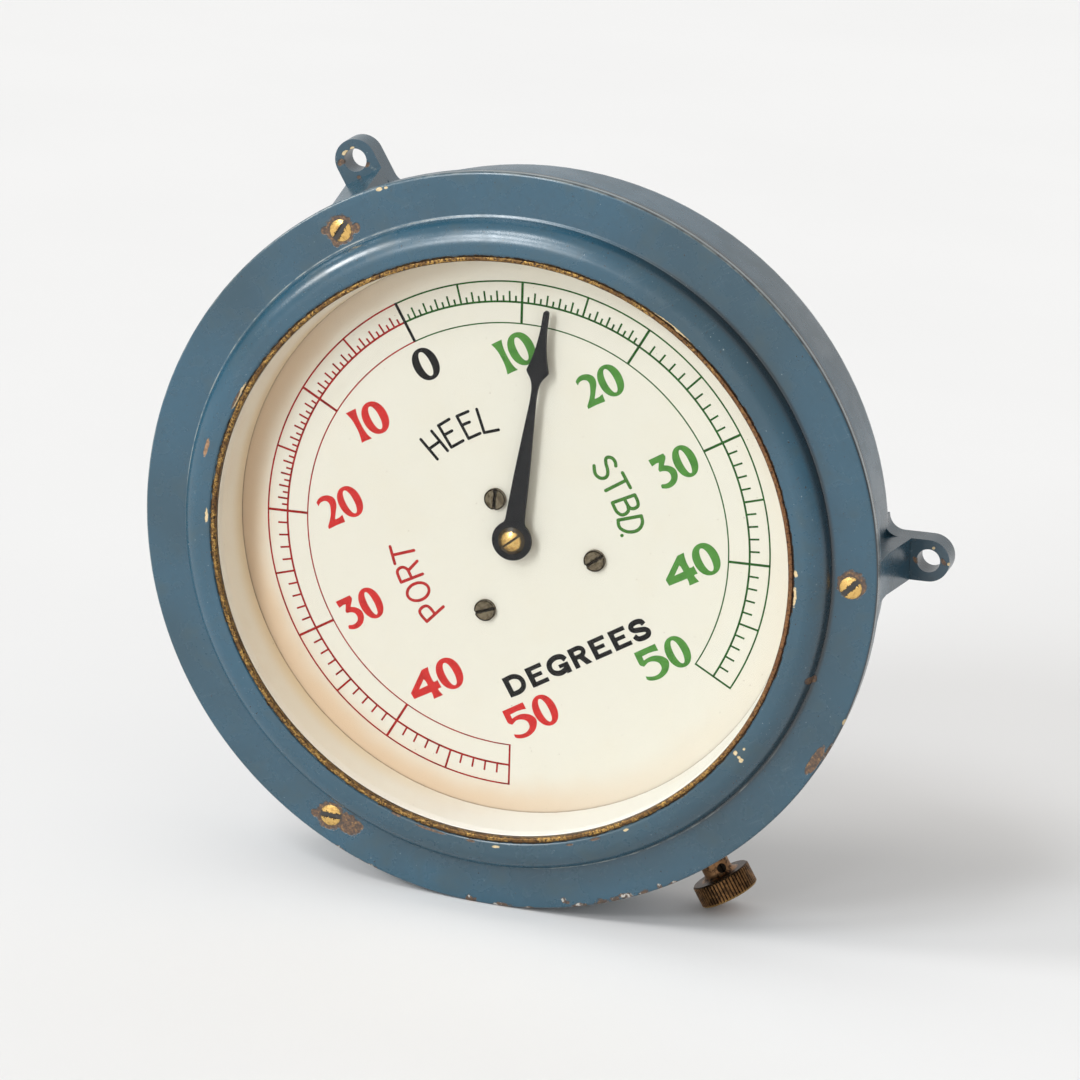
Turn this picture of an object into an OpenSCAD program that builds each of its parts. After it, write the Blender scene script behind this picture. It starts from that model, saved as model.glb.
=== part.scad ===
// Ship clinometer: a weighted pendulum in a round case turns a pointer over a heel scale.
// The front faces -Y and the zero mark is up (+Z). The origin is the centre of the three
// lug holes' circle, on the flat back that goes against the bulkhead. Sizes in millimetres.

/* [Case] */
// outside radius of the case wall
case_radius = 109.5; // [104:0.5:130]
// thickness of the case wall
case_wall = 4; // [3:0.1:5.5]
// thickness of the case back, which everything inside stands on
case_back = 4; // [3:0.1:6]
// back face to the front of the case rim
case_depth = 40; // [37:0.1:60]
// outer rounding between back and wall
back_rounding = 6; // [4:0.1:9]
// thickness of the rim that the bezel screws down on
rim_thickness = 2.5; // [1.5:0.1:4]

/* [Fixing lugs] */
// edge of the bezel to the centre of each lug hole
lug_reach = 7.5; // [7:0.1:20]
// bolt hole in each lug
lug_hole_diameter = 7.2; // [5:0.1:8.4]
// width of a lug, and of its rounded end
lug_width = 13; // [11:0.1:20]
// thickness of a lug
lug_thickness = 8; // [5:0.1:13]

/* [Bezel] */
// how far the bezel stands out past the case wall
bezel_overhang = 5.5; // [3:0.1:9]
// thickness of the flange
flange_thickness = 2.8; // [2.2:0.1:5]
// outside of the case wall to the circle of bezel screws
screw_inset = 2.5; // [1:0.1:5]
// circle of bezel screws to the foot of the raised moulding
screw_room = 5.2; // [4.5:0.1:9]
// radius of the moulding's rounded shoulder
moulding_round = 7; // [5:0.1:8.5]
// width of the flat lip inside the moulding
lip_width = 4.7; // [4.5:0.1:9]
// thickness of the inner lip
lip_thickness = 1.8; // [1.2:0.1:3]
// head diameter of a bezel screw
bezel_screw_head = 6.9; // [5.6:0.1:8.4]
// thickness of the gasket between rim and bezel
gasket_thickness = 0.5; // [0.3:0.1:2]

/* [Glass] */
// thickness of the window glass
glass_thickness = 3; // [2:0.1:5]
// thickness of the sealing ring between lip and glass
seal_thickness = 0.6; // [0.3:0.1:1.5]

/* [Dial] */
// clearance from the screw bosses to the edge of the dial plate
dial_margin = 1.5; // [0.5:0.1:8]
// thickness of the dial plate
dial_thickness = 1.5; // [0.8:0.1:3]
// head diameter of a dial screw
dial_screw_head = 6.7; // [5:0.1:9]
// height of the posts between front plate and dial
post_height = 3; // [2:0.1:6]

/* [Movement] */
// radius of the two round movement plates
plate_radius = 44; // [40:0.5:54]
// thickness of each movement plate
plate_thickness = 2; // [1.5:0.1:3]
// clear distance between the plates
plate_spacing = 16; // [15:0.1:20]
// height of the bosses that the back plate stands on
foot_height = 3; // [2:0.1:4.4]
// edge of the plates to the circle of pillars and bosses
pillar_inset = 6; // [5.5:0.1:10]
// diameter of a pillar
pillar_diameter = 7; // [5:0.1:10]
// diameter of the pivots at the ends of both arbors
pivot_diameter = 3; // [2.2:0.1:4]

/* [Gearing] */
// gear module
gear_module = 0.8; // [0.6:0.05:1.1]
// teeth on the pinion; the sector is cut from a wheel of three times as many
pinion_teeth = 16; // [14:1:20]
// width of the sector gear
sector_thickness = 2; // [1:0.1:3]

/* [Pendulum] */
// heel shown in the rest pose, in degrees to starboard
rest_heel = 12.3333; // [-40:0.1:40]
// largest heel to either side
heel_limit = 50; // [20:1:54]
// lowest edge of the bob to the inside of the case wall
bob_clearance = 7.9; // [7:0.1:16]
// height of the bob, measured along the rod
bob_height = 25; // [16:0.5:30]
// half of the angle that the bob spans
bob_half_angle = 24; // [14:1:30]
// thickness of the bob
bob_thickness = 9; // [6.5:0.1:10.5]
// width of the rod
rod_width = 6; // [4:0.1:10]
// thickness of the rod
rod_thickness = 2; // [1:0.1:3.5]

/* [Pointer] */
// hub centre to the tip of the pointer
pointer_length = 73.2; // [60:0.1:84]
// width across the shoulders of the spade
spade_width = 6.7; // [3:0.1:12]
// diameter of the pointer's round hub
pointer_hub = 12.4; // [10:0.1:18]
// head diameter of the pointer screw
pointer_screw_head = 8.4; // [5:0.1:10]

/* [Lock] */
// diameter of the knurled knob
knob_diameter = 18.8; // [14:0.1:24]
// height of the knurled part
knob_height = 7.1; // [5:0.1:12]
// number of straight ridges
knurl_count = 54; // [36:1:72]
// diameter of the neck
neck_diameter = 9; // [8.4:0.1:12]
// diameter of the lock spindle
spindle_diameter = 6; // [4.6:0.1:6.6]
// how far the brake shoe draws back
lock_travel = 3; // [1.5:0.1:4.5]

/* [Hidden] */
$fn = 96;
case_blue = [0.33, 0.42, 0.47];
brass_tone = [0.78, 0.62, 0.30];
bronze_tone = [0.42, 0.30, 0.18];
steel_tone = [0.55, 0.54, 0.51];
rubber_tone = [0.10, 0.10, 0.10];
fit = 0.05;
gap = 0.3;
third = 120;
// radii, from the case wall inward and outward
bezel_radius = case_radius + bezel_overhang;
rim_radius = bezel_radius - 0.2;
bezel_screw_circle = case_radius - screw_inset;
moulding_radius = bezel_screw_circle - screw_room;
plinth_inset = 0.4;
round_centre = moulding_radius - plinth_inset - moulding_round;
opening_radius = round_centre - lip_width;
bore_radius = opening_radius + 4.3;
screw_boss = 5;
dial_radius = bezel_screw_circle - screw_boss - dial_margin;
lug_circle_radius = bezel_radius + lug_reach;
// heights above the back face
foot_top = case_back + foot_height;
back_top = foot_top + plate_thickness;
front_under = back_top + plate_spacing;
front_top = front_under + plate_thickness;
dial_under = front_top + post_height;
dial_top = dial_under + dial_thickness;
flange_under = case_depth + gasket_thickness;
flange_top = flange_under + flange_thickness;
plinth_height = 0.3;
lip_top = flange_top + plinth_height + moulding_round;
lip_under = lip_top - lip_thickness;
glass_top = lip_under - seal_thickness;
glass_under = glass_top - glass_thickness;
// bezel
bead_width = 1.4;
bead_rise = 0.15;
groove_width = 0.6;
groove_depth = 0.35;
lip_edge = 0.5;
head_sink = 1.9;
head_rise = 0.45;
screw_shank = 4;
screw_length = 12;
bezel_slot_turns = [29, 15, -35];
// lugs
rib_outer = rim_radius - 0.8;
rib_foot = rib_outer + 3;
rib_slope = 18;
rib_slope_top = lug_thickness + rib_slope;
lug_fillet = 5;
fillet_bite = 0.6;
// window parts
ring_wall = 1;
ring_foot_radius = opening_radius - 1.8;
ring_top_radius = opening_radius - 0.3;
ring_flange_radius = bore_radius - 0.3;
ring_foot = dial_top + 0.4;
retainer_height = 2;
retainer_inner = opening_radius + 1.5;
seal_inner = opening_radius + 0.6;
notch_width = 4;
// dial fixings: top, right and left screws
dial_screw_places = [[0, 13.2], [19.7, -16.4], [-19.7, -16.4]];
dial_slot_turns = [57, 7, -12];
dial_screw_shank = 3;
dial_screw_rise = 1.3;
dial_hole = 9.6;
post_diameter = 7;
// movement
pivot_drop = 2 * pinion_teeth * gear_module;
pillar_circle = plate_radius - pillar_inset;
pillar_turns = [0, 115, 245];
foot_turns = [45, 135, 225, 315];
small_shank = 3;
small_head = 5.5;
small_head_rise = 1.5;
foot_diameter = 10;
foot_hole_floor = 1.5;
pillar_hole = 5.5;
bush_diameter = 6;
bush_flange = 8;
bush_flange_rise = 0.4;
arbor_diameter = 5;
arbor_back = back_top + bush_flange_rise + gap;
arbor_front = front_under - bush_flange_rise - gap;
pivot_end = 0.4;
// gear train
teeth_ratio = 3;
sector_teeth = teeth_ratio * pinion_teeth;
pressure_angle = 20;
tooth_thinning = 0.08;
sector_side_teeth = ceil(sector_teeth * (heel_limit + 10) / 360);
sector_front = front_under - 3;
sector_back = sector_front - sector_thickness;
pinion_width = sector_thickness + 2;
pinion_back = sector_back - 1;
pointer_turn = -teeth_ratio * rest_heel;
// pendulum stack, from the back
bob_low = case_radius - case_wall - bob_clearance;
bob_outer = bob_low - pivot_drop;
bob_inner = bob_outer - bob_height;
bob_back = case_back + 1.5;
bob_front = bob_back + bob_thickness;
rod_front = bob_front + rod_thickness;
hub_radius = 8;
collar_radius = 4.2;
collar_height = 2;
rod_end = bob_outer - 3;
bob_screw_inner = 6;
bob_screw_outer = 7;
bob_screw_places = [bob_inner + bob_screw_inner, bob_outer - bob_screw_outer];
bob_screw_depth = bob_thickness - 3;
rivet_place = 6.2;
rivet_radius = 1;
rivet_head = 1.5;
rivet_rise = 0.6;
stop_inset = 28;
stop_radius = plate_radius - stop_inset;
stop_pin = 1.5;
stop_lean = asin((rod_width / 2 + stop_pin + gap) / stop_radius);
// pointer stack
boss_back = dial_top + 0.6;
pointer_back = boss_back + 2.7;
pointer_thickness = 1;
pointer_front = pointer_back + pointer_thickness;
boss_diameter = 8;
pointer_screw_shank = pivot_diameter - 1;
pointer_screw_depth = 4;
pointer_screw_rise = 1.3;
pointer_slot_turn = 9;
spade_at = 0.732 * pointer_length;
neck_at = 0.655 * pointer_length;
tip_half = 0.85;
neck_half = 0.9;
root_half = 2.9;
// lock, measured outward from the centre along the knob's axis
lock_height = max(case_back + 5.5, knob_diameter / 2 + 0.1);
pad_top = bob_low + gap;
pad_radius = 3.4;
pad_thickness = 2;
pad_sunk = 1;
shoe_radius = 4.6;
shoe_top = pad_top + pad_thickness - pad_sunk;
shoe_end = case_radius - 3.6;
tip_radius = 2;
tip_depth = 4;
shoe_bore = shoe_radius + gap;
bush_start = shoe_end + lock_travel + gap;
lock_boss_radius = 8.5;
lock_boss_end = rib_outer;
lock_bush_radius = 5.5;
washer_thickness = 0.5;
bush_head_radius = 7.5;
bush_head_end = lock_boss_end + washer_thickness + 2.5;
neck_start = bush_head_end + 0.5;
knob_face = lug_circle_radius + 2.4;
knob_end = knob_face + knob_height;
neck_flare = 1.9;
knurl_depth = 0.4;
knob_chamfer = 0.5;
spindle_end = knob_end - 2;
set_screw_turn = 40;
set_screw_at = knob_face - 2.2;
set_screw_radius = 1.5;
set_screw_length = 1.2;

// front view frame: x to the right, y up, z out of the back towards the viewer
module front_view() {
    rotate([90, 0, 0]) children();
}

// lock frame: z runs outward from the centre, straight down through the knob
module lock_view() {
    translate([0, -lock_height, 0]) rotate([180, 0, 0]) children();
}

// one child at a clockwise turn from the top, at a radius
module at_turn(turn, radius) {
    rotate([0, 0, -turn]) translate([0, radius, 0]) children();
}

module tube(outer, inner, height) {
    linear_extrude(height) difference() {
        circle(r = outer);
        circle(r = inner);
    }
}

// screw with its head's underside at z = 0 and its shank below
module cheese_screw(head, rise, shank, length, turn = 0, slot = 1) {
    difference() {
        union() {
            cylinder(r = head / 2, h = rise);
            translate([0, 0, -length]) cylinder(r = shank / 2, h = length + rise / 2);
        }
        rotate([0, 0, turn]) translate([-head, -slot / 2, rise * 0.45]) cube([2 * head, slot, rise]);
    }
}

// screw with a cone under its head, level with z = 0, and a low dome above it
module sunk_screw(head, turn) {
    dome = (pow(head / 2, 2) + pow(head_rise, 2)) / (2 * head_rise);
    difference() {
        union() {
            translate([0, 0, -head_sink]) cylinder(r1 = screw_shank / 2, r2 = head / 2, h = head_sink);
            translate([0, 0, -screw_length]) cylinder(r = screw_shank / 2, h = screw_length - 0.5);
            intersection() {
                cylinder(r = head / 2, h = head_rise);
                translate([0, 0, head_rise - dome]) sphere(r = dome, $fn = 192);
            }
        }
        rotate([0, 0, turn]) translate([-head, -0.75, head_rise - 1.4]) cube([2 * head, 1.5, 2]);
    }
}

module lug_shape() {
    // rib from the lug to the rim, seen from its side
    rotate([90, 0, 90]) linear_extrude(lug_width, center = true) polygon([
        [case_radius - back_rounding - 4, 0],
        [lug_circle_radius, 0],
        [lug_circle_radius, lug_thickness],
        [rib_foot, lug_thickness],
        [rib_outer, rib_slope_top],
        [rib_outer, case_depth - rim_thickness / 2],
        [case_radius - case_wall / 2, case_depth - rim_thickness / 2],
        [case_radius - case_wall / 2, case_back],
        [case_radius - back_rounding - 4, case_back]
    ]);
    translate([0, lug_circle_radius, 0]) cylinder(r = lug_width / 2, h = lug_thickness);
    // fillets where the lug meets the wall
    reach = lug_width / 2 + lug_fillet;
    rise = sqrt(pow(case_radius + lug_fillet - fillet_bite, 2) - pow(reach, 2));
    for (side = [-1, 1])
        linear_extrude(lug_thickness) difference() {
            translate([side > 0 ? lug_width / 2 - 0.5 : -reach, case_radius - 3])
                square([lug_fillet + 0.5, rise - case_radius + 3]);
            translate([side * reach, rise]) circle(r = lug_fillet);
        }
}

module case_body() color(case_blue) difference() {
    union() {
        front_view() {
            rotate_extrude($fn = 192) difference() {
                union() {
                    square([case_radius - back_rounding, case_depth]);
                    translate([0, back_rounding]) square([case_radius, case_depth - back_rounding]);
                    translate([case_radius - back_rounding, back_rounding]) circle(r = back_rounding);
                    translate([0, case_depth - rim_thickness]) square([rim_radius, rim_thickness]);
                }
                translate([0, case_back]) square([case_radius - case_wall, case_depth]);
            }
            for (k = [0:2]) rotate([0, 0, -third * k]) {
                lug_shape();
                translate([0, bezel_screw_circle, case_back - 1])
                    cylinder(r = screw_boss, h = case_depth - case_back + 0.5);
            }
            for (turn = foot_turns) at_turn(turn, pillar_circle)
                translate([0, 0, case_back - 1]) cylinder(r = foot_diameter / 2, h = foot_height + 1);
        }
        lock_view() translate([0, 0, case_radius - case_wall - 0.5])
            cylinder(r = lock_boss_radius, h = lock_boss_end - case_radius + case_wall + 0.5);
    }
    front_view() {
        for (k = [0:2]) {
            at_turn(third * k, lug_circle_radius) translate([0, 0, -1])
                cylinder(r = lug_hole_diameter / 2, h = lug_thickness + 2);
            at_turn(third * k, bezel_screw_circle)
                translate([0, 0, flange_top - screw_length - 0.5])
                    cylinder(r = screw_shank / 2 + fit, h = screw_length + 1);
        }
        for (turn = foot_turns) at_turn(turn, pillar_circle) translate([0, 0, foot_hole_floor])
            cylinder(r = small_shank / 2 + fit, h = foot_top);
    }
    lock_view() {
        translate([0, 0, case_radius - case_wall - 3]) cylinder(r = shoe_bore, h = lock_boss_end);
        translate([0, 0, bush_start]) cylinder(r = lock_bush_radius, h = lock_boss_end);
    }
}

module bezel() color(case_blue) front_view() difference() {
    rotate_extrude($fn = 192) difference() {
        union() {
            translate([bore_radius, flange_under])
                square([bezel_radius - bore_radius, flange_thickness]);
            translate([bore_radius, flange_under])
                square([moulding_radius - bore_radius, flange_thickness + plinth_height]);
            translate([opening_radius, lip_under])
                square([round_centre + 0.1 - opening_radius, lip_thickness]);
            translate([bore_radius, flange_under])
                square([round_centre + 0.1 - bore_radius, lip_top - flange_under]);
            intersection() {
                translate([round_centre, flange_top + plinth_height]) circle(r = moulding_round);
                translate([round_centre, flange_top]) square(2 * moulding_round);
            }
            translate([opening_radius + lip_edge, lip_top - 0.2])
                square([bead_width - lip_edge, bead_rise + 0.2]);
        }
        translate([opening_radius + bead_width, lip_top - groove_depth])
            square([groove_width, groove_depth + 1]);
        translate([opening_radius - 1, lip_top - lip_edge]) difference() {
            square([1 + lip_edge, 2]);
            translate([1 + lip_edge, 0]) circle(r = lip_edge);
        }
    }
    for (k = [0:2]) at_turn(third * k, bezel_screw_circle) {
        translate([0, 0, flange_under - 1]) cylinder(r = screw_shank / 2 + fit, h = flange_thickness + 2);
        translate([0, 0, flange_top - head_sink])
            cylinder(r1 = screw_shank / 2, r2 = bezel_screw_head / 2, h = head_sink);
    }
}

module bezel_gasket() color(rubber_tone) front_view() difference() {
    translate([0, 0, case_depth])
        tube(rim_radius - 0.3, case_radius - case_wall, gasket_thickness);
    for (k = [0:2]) at_turn(third * k, bezel_screw_circle) translate([0, 0, case_depth - 1])
        cylinder(r = screw_shank / 2 + fit, h = gasket_thickness + 2);
}

module bezel_screws() color(brass_tone) front_view()
    for (k = [0:2]) at_turn(third * k, bezel_screw_circle) translate([0, 0, flange_top])
        sunk_screw(bezel_screw_head, bezel_slot_turns[k] + third * k);

module glass() color([0.85, 0.93, 0.95, 0.3]) front_view() translate([0, 0, glass_under])
    cylinder(r = bore_radius - 0.4, h = glass_thickness, $fn = 192);

module glass_seal() color(rubber_tone) front_view() translate([0, 0, glass_top])
    tube(bore_radius - 0.3, seal_inner, seal_thickness);

module reflector_ring() color([0.95, 0.94, 0.90]) front_view() rotate_extrude($fn = 192) polygon([
    [ring_foot_radius, ring_foot],
    [ring_foot_radius + ring_wall, ring_foot],
    [ring_top_radius + ring_wall, glass_under - ring_wall],
    [ring_flange_radius, glass_under - ring_wall],
    [ring_flange_radius, glass_under],
    [ring_top_radius, glass_under]
]);

module glass_retainer() color(brass_tone) front_view() difference() {
    translate([0, 0, glass_under - ring_wall - retainer_height])
        tube(bore_radius - fit, retainer_inner, retainer_height);
    for (k = [0, 1]) at_turn(90 + 180 * k, bore_radius)
        translate([-notch_width / 2, -4, glass_under - ring_wall - retainer_height - 1])
            cube([notch_width, 2.4, 2]);
}

module dial_plate() color([0.95, 0.93, 0.86]) front_view() translate([0, 0, dial_under])
    linear_extrude(dial_thickness) difference() {
        circle(r = dial_radius, $fn = 192);
        circle(r = dial_hole / 2);
        for (place = dial_screw_places) translate(place) circle(r = dial_screw_shank / 2 + fit);
    }

module dial_screws() color(steel_tone) front_view()
    for (k = [0:2]) translate([dial_screw_places[k][0], dial_screw_places[k][1], dial_top])
        cheese_screw(dial_screw_head, dial_screw_rise, dial_screw_shank,
            dial_top - front_under - 0.2, dial_slot_turns[k], 0.9);

module dial_posts() color(brass_tone) front_view()
    for (place = dial_screw_places) translate([place[0], place[1], front_top])
        tube(post_diameter / 2, dial_screw_shank / 2 + fit, post_height);

module plate_outline() {
    difference() {
        circle(r = plate_radius);
        circle(r = bush_diameter / 2);
        translate([0, -pivot_drop]) circle(r = bush_diameter / 2);
        for (turn = pillar_turns) rotate(-turn) translate([0, pillar_circle])
            circle(r = small_shank / 2 + fit);
    }
}

module front_plate() color(brass_tone) front_view() translate([0, 0, front_under])
    linear_extrude(plate_thickness) difference() {
        plate_outline();
        for (place = dial_screw_places) translate(place) circle(r = dial_screw_shank / 2 + fit);
    }

module back_plate() color(brass_tone) front_view() translate([0, 0, foot_top])
    linear_extrude(plate_thickness) difference() {
        plate_outline();
        for (turn = foot_turns) rotate(-turn) translate([0, pillar_circle])
            circle(r = small_shank / 2 + fit);
        stop_places() circle(r = stop_pin);
    }

module stop_places() {
    for (side = [-1, 1]) translate([0, -pivot_drop]) rotate(side * (heel_limit + stop_lean))
        translate([0, -stop_radius]) children();
}

module pillars() color(brass_tone) front_view()
    for (turn = pillar_turns) at_turn(turn, pillar_circle) translate([0, 0, back_top]) difference() {
        cylinder(r = pillar_diameter / 2, h = plate_spacing);
        translate([0, 0, -1]) cylinder(r = small_shank / 2 + fit, h = pillar_hole + 1);
        translate([0, 0, plate_spacing - pillar_hole]) cylinder(r = small_shank / 2 + fit, h = pillar_hole + 1);
    }

module pillar_screws() color(steel_tone) front_view()
    for (turn = pillar_turns) at_turn(turn, pillar_circle) {
        translate([0, 0, front_top])
            cheese_screw(small_head, small_head_rise, small_shank, plate_thickness + pillar_hole - 0.5, 2 * turn);
        translate([0, 0, foot_top]) rotate([180, 0, 0])
            cheese_screw(small_head, small_head_rise, small_shank, plate_thickness + pillar_hole - 0.5, turn);
    }

module foot_screws() color(steel_tone) front_view()
    for (turn = foot_turns) at_turn(turn, pillar_circle) translate([0, 0, back_top])
        cheese_screw(small_head, small_head_rise - 0.1, small_shank,
            back_top - foot_hole_floor - 0.3, turn);

module bush() {
    difference() {
        union() {
            cylinder(r = bush_diameter / 2, h = plate_thickness);
            translate([0, 0, plate_thickness]) cylinder(r = bush_flange / 2, h = bush_flange_rise);
        }
        translate([0, 0, -1]) cylinder(r = pivot_diameter / 2 + fit, h = plate_thickness + 3);
    }
}

module front_bushes() color([0.72, 0.52, 0.26]) front_view()
    for (drop = [0, pivot_drop]) translate([0, -drop, front_top]) rotate([180, 0, 0]) bush();

module back_bushes() color([0.72, 0.52, 0.26]) front_view()
    for (drop = [0, pivot_drop]) translate([0, -drop, foot_top]) bush();

module stop_pins() color(steel_tone) front_view()
    translate([0, 0, foot_top]) linear_extrude(rod_front + 0.8 - foot_top)
        stop_places() circle(r = stop_pin);

// frame that swings with the pendulum, with its pivot at the origin
module pendulum_view() {
    front_view() translate([0, -pivot_drop, 0]) rotate([0, 0, rest_heel]) children();
}

// frame that turns with the pointer, which points along +y
module pointer_view() {
    front_view() rotate([0, 0, pointer_turn]) children();
}

module pendulum_arbor() color(steel_tone) pendulum_view() {
    translate([0, 0, arbor_back]) cylinder(r = arbor_diameter / 2, h = arbor_front - arbor_back);
    translate([0, 0, foot_top - pivot_end])
        cylinder(r = pivot_diameter / 2, h = front_top - foot_top + 2 * pivot_end);
}

module pendulum_collar() color(brass_tone) pendulum_view()
    translate([0, 0, bob_front - collar_height])
        tube(collar_radius, arbor_diameter / 2 + fit, collar_height);

module rivet_holes() {
    for (side = [-1, 1]) translate([side * rivet_place, 0]) circle(r = rivet_radius);
}

module pendulum_rod() color(steel_tone) pendulum_view() translate([0, 0, bob_front])
    linear_extrude(rod_thickness) difference() {
        union() {
            circle(r = hub_radius);
            translate([-rod_width / 2, -rod_end]) square([rod_width, rod_end]);
        }
        circle(r = arbor_diameter / 2 + fit);
        rivet_holes();
        for (place = bob_screw_places) translate([0, -place]) circle(r = small_shank / 2 + fit);
    }

module pendulum_hub() color(brass_tone) pendulum_view() translate([0, 0, rod_front])
    linear_extrude(sector_back - rod_front) difference() {
        circle(r = hub_radius);
        circle(r = arbor_diameter / 2 + fit);
        rivet_holes();
    }

module hub_rivets() color([0.72, 0.52, 0.26]) pendulum_view()
    for (side = [-1, 1]) translate([side * rivet_place, 0, bob_front]) {
        cylinder(r = rivet_radius, h = sector_front - bob_front);
        translate([0, 0, -rivet_rise]) cylinder(r = rivet_head, h = rivet_rise);
        translate([0, 0, sector_front - bob_front]) cylinder(r = rivet_head, h = rivet_rise);
    }

// involute tooth flanks: half of the tooth's angle at a radius
function involute(angle) = tan(angle) * 180 / PI - angle;
function tooth_half(teeth, radius) =
    let (base = gear_module * teeth / 2 * cos(pressure_angle))
    90 / teeth - tooth_thinning / (gear_module * teeth) * 180 / PI
    + involute(pressure_angle) - involute(acos(min(1, base / radius)));
function tooth_radii(teeth) =
    let (
        root = gear_module * (teeth / 2 - 1.25),
        base = max(root, gear_module * teeth / 2 * cos(pressure_angle)),
        tip = gear_module * (teeth / 2 + 1)
    )
    concat([root], [for (k = [0:5]) base + 0.01 + (tip - base - 0.01) * k / 5]);
function one_tooth(teeth, centre) =
    let (radii = tooth_radii(teeth), last = len(radii) - 1)
    concat(
        [for (k = [0:last]) let (a = centre - tooth_half(teeth, radii[k])) radii[k] * [cos(a), sin(a)]],
        [for (k = [0:last]) let (
            r = radii[last - k],
            a = centre + tooth_half(teeth, r)
        ) r * [cos(a), sin(a)]]
    );
function tooth_row(teeth, first, count) =
    [for (i = [0:count - 1]) each one_tooth(teeth, first + 360 / teeth * i)];

module sector_gear() color(brass_tone) pendulum_view() translate([0, 0, sector_back])
    linear_extrude(sector_thickness) difference() {
        union() {
            circle(r = hub_radius);
            polygon(concat([[0, 0]], tooth_row(sector_teeth,
                90 - sector_side_teeth * 360 / sector_teeth, 2 * sector_side_teeth + 1)));
        }
        circle(r = arbor_diameter / 2 + fit);
        rivet_holes();
    }

module bob() color(brass_tone) pendulum_view() difference() {
    translate([0, 0, bob_back]) linear_extrude(bob_thickness) intersection() {
        difference() {
            circle(r = bob_outer, $fn = 192);
            circle(r = bob_inner, $fn = 192);
        }
        polygon([[0, 0], 2 * bob_outer * [-sin(bob_half_angle), -cos(bob_half_angle)],
            2 * bob_outer * [sin(bob_half_angle), -cos(bob_half_angle)]]);
    }
    for (place = bob_screw_places) translate([0, -place, bob_front - bob_screw_depth - 0.5])
        cylinder(r = small_shank / 2 + fit, h = bob_screw_depth + 2);
}

module bob_screws() color(steel_tone) pendulum_view()
    for (place = bob_screw_places) translate([0, -place, rod_front])
        cheese_screw(small_head, small_head_rise, small_shank, rod_thickness + bob_screw_depth, 20);

module pointer_arbor() color(steel_tone) pointer_view() difference() {
    union() {
        translate([0, 0, arbor_back]) cylinder(r = arbor_diameter / 2, h = arbor_front - arbor_back);
        translate([0, 0, foot_top - pivot_end])
            cylinder(r = pivot_diameter / 2, h = pointer_back - foot_top + pivot_end);
    }
    translate([0, 0, pointer_back - pointer_screw_depth - 0.5])
        cylinder(r = pointer_screw_shank / 2 + fit, h = pointer_screw_depth + 1);
}

module pinion() color(steel_tone) pointer_view() translate([0, 0, pinion_back])
    linear_extrude(pinion_width) difference() {
        polygon(tooth_row(pinion_teeth, -90 + 180 / pinion_teeth, pinion_teeth));
        circle(r = arbor_diameter / 2 + fit);
    }

module pointer_boss() color(brass_tone) pointer_view() translate([0, 0, boss_back])
    tube(boss_diameter / 2, pivot_diameter / 2 + fit, pointer_back - boss_back);

module pointer() color([0.10, 0.10, 0.12]) pointer_view() translate([0, 0, pointer_back])
    linear_extrude(pointer_thickness) difference() {
        union() {
            circle(r = pointer_hub / 2);
            // tapered arm, spade and round tip
            polygon([
                [-root_half, 0], [root_half, 0],
                [neck_half, neck_at], [-neck_half, neck_at]
            ]);
            polygon([
                [-neck_half, neck_at - 0.5], [neck_half, neck_at - 0.5],
                [neck_half, neck_at], [spade_width / 2, spade_at - 0.8],
                [spade_width / 2, spade_at], [tip_half, pointer_length - tip_half],
                [-tip_half, pointer_length - tip_half], [-spade_width / 2, spade_at],
                [-spade_width / 2, spade_at - 0.8], [-neck_half, neck_at]
            ]);
            translate([0, pointer_length - tip_half]) circle(r = tip_half);
        }
        circle(r = pointer_screw_shank / 2 + fit);
    }

module pointer_screw() color(brass_tone) pointer_view() translate([0, 0, pointer_front]) {
    dome = (pow(pointer_screw_head / 2, 2) + pow(pointer_screw_rise, 2)) / (2 * pointer_screw_rise);
    translate([0, 0, -pointer_thickness - pointer_screw_depth])
        cylinder(r = pointer_screw_shank / 2, h = pointer_thickness + pointer_screw_depth + 0.3);
    difference() {
        intersection() {
            cylinder(r = pointer_screw_head / 2, h = pointer_screw_rise);
            translate([0, 0, pointer_screw_rise - dome]) sphere(r = dome, $fn = 192);
        }
        rotate([0, 0, pointer_slot_turn - pointer_turn])
            translate([-pointer_screw_head, -0.35, pointer_screw_rise - 0.8])
                cube([2 * pointer_screw_head, 0.7, 2]);
    }
}

module lock_bush() color(brass_tone) lock_view() difference() {
    union() {
        translate([0, 0, bush_start])
            cylinder(r = lock_bush_radius - fit, h = bush_head_end - bush_start);
        translate([0, 0, lock_boss_end + washer_thickness])
            cylinder(r = bush_head_radius, h = bush_head_end - lock_boss_end - washer_thickness, $fn = 6);
    }
    translate([0, 0, bush_start - 1])
        cylinder(r = spindle_diameter / 2 + fit, h = bush_head_end - bush_start + 2);
}

module bush_washer() color(rubber_tone) lock_view() translate([0, 0, lock_boss_end])
    tube(bush_head_radius + 0.3, lock_bush_radius, washer_thickness);

module brake_pad() color([0.45, 0.32, 0.20]) lock_view() translate([0, 0, pad_top])
    cylinder(r = pad_radius, h = pad_thickness);

module brake_shoe() color(brass_tone) lock_view() difference() {
    translate([0, 0, shoe_top]) cylinder(r = shoe_radius, h = shoe_end - shoe_top);
    translate([0, 0, shoe_top - 1]) cylinder(r = pad_radius, h = pad_sunk + 1);
    translate([0, 0, shoe_end - tip_depth]) cylinder(r = tip_radius + fit, h = tip_depth + 1);
}

module lock_spindle() color(steel_tone) lock_view() {
    translate([0, 0, shoe_end - tip_depth + gap]) cylinder(r = tip_radius, h = tip_depth + 1);
    translate([0, 0, shoe_end + gap]) cylinder(r = spindle_diameter / 2, h = spindle_end - shoe_end - gap);
}

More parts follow.
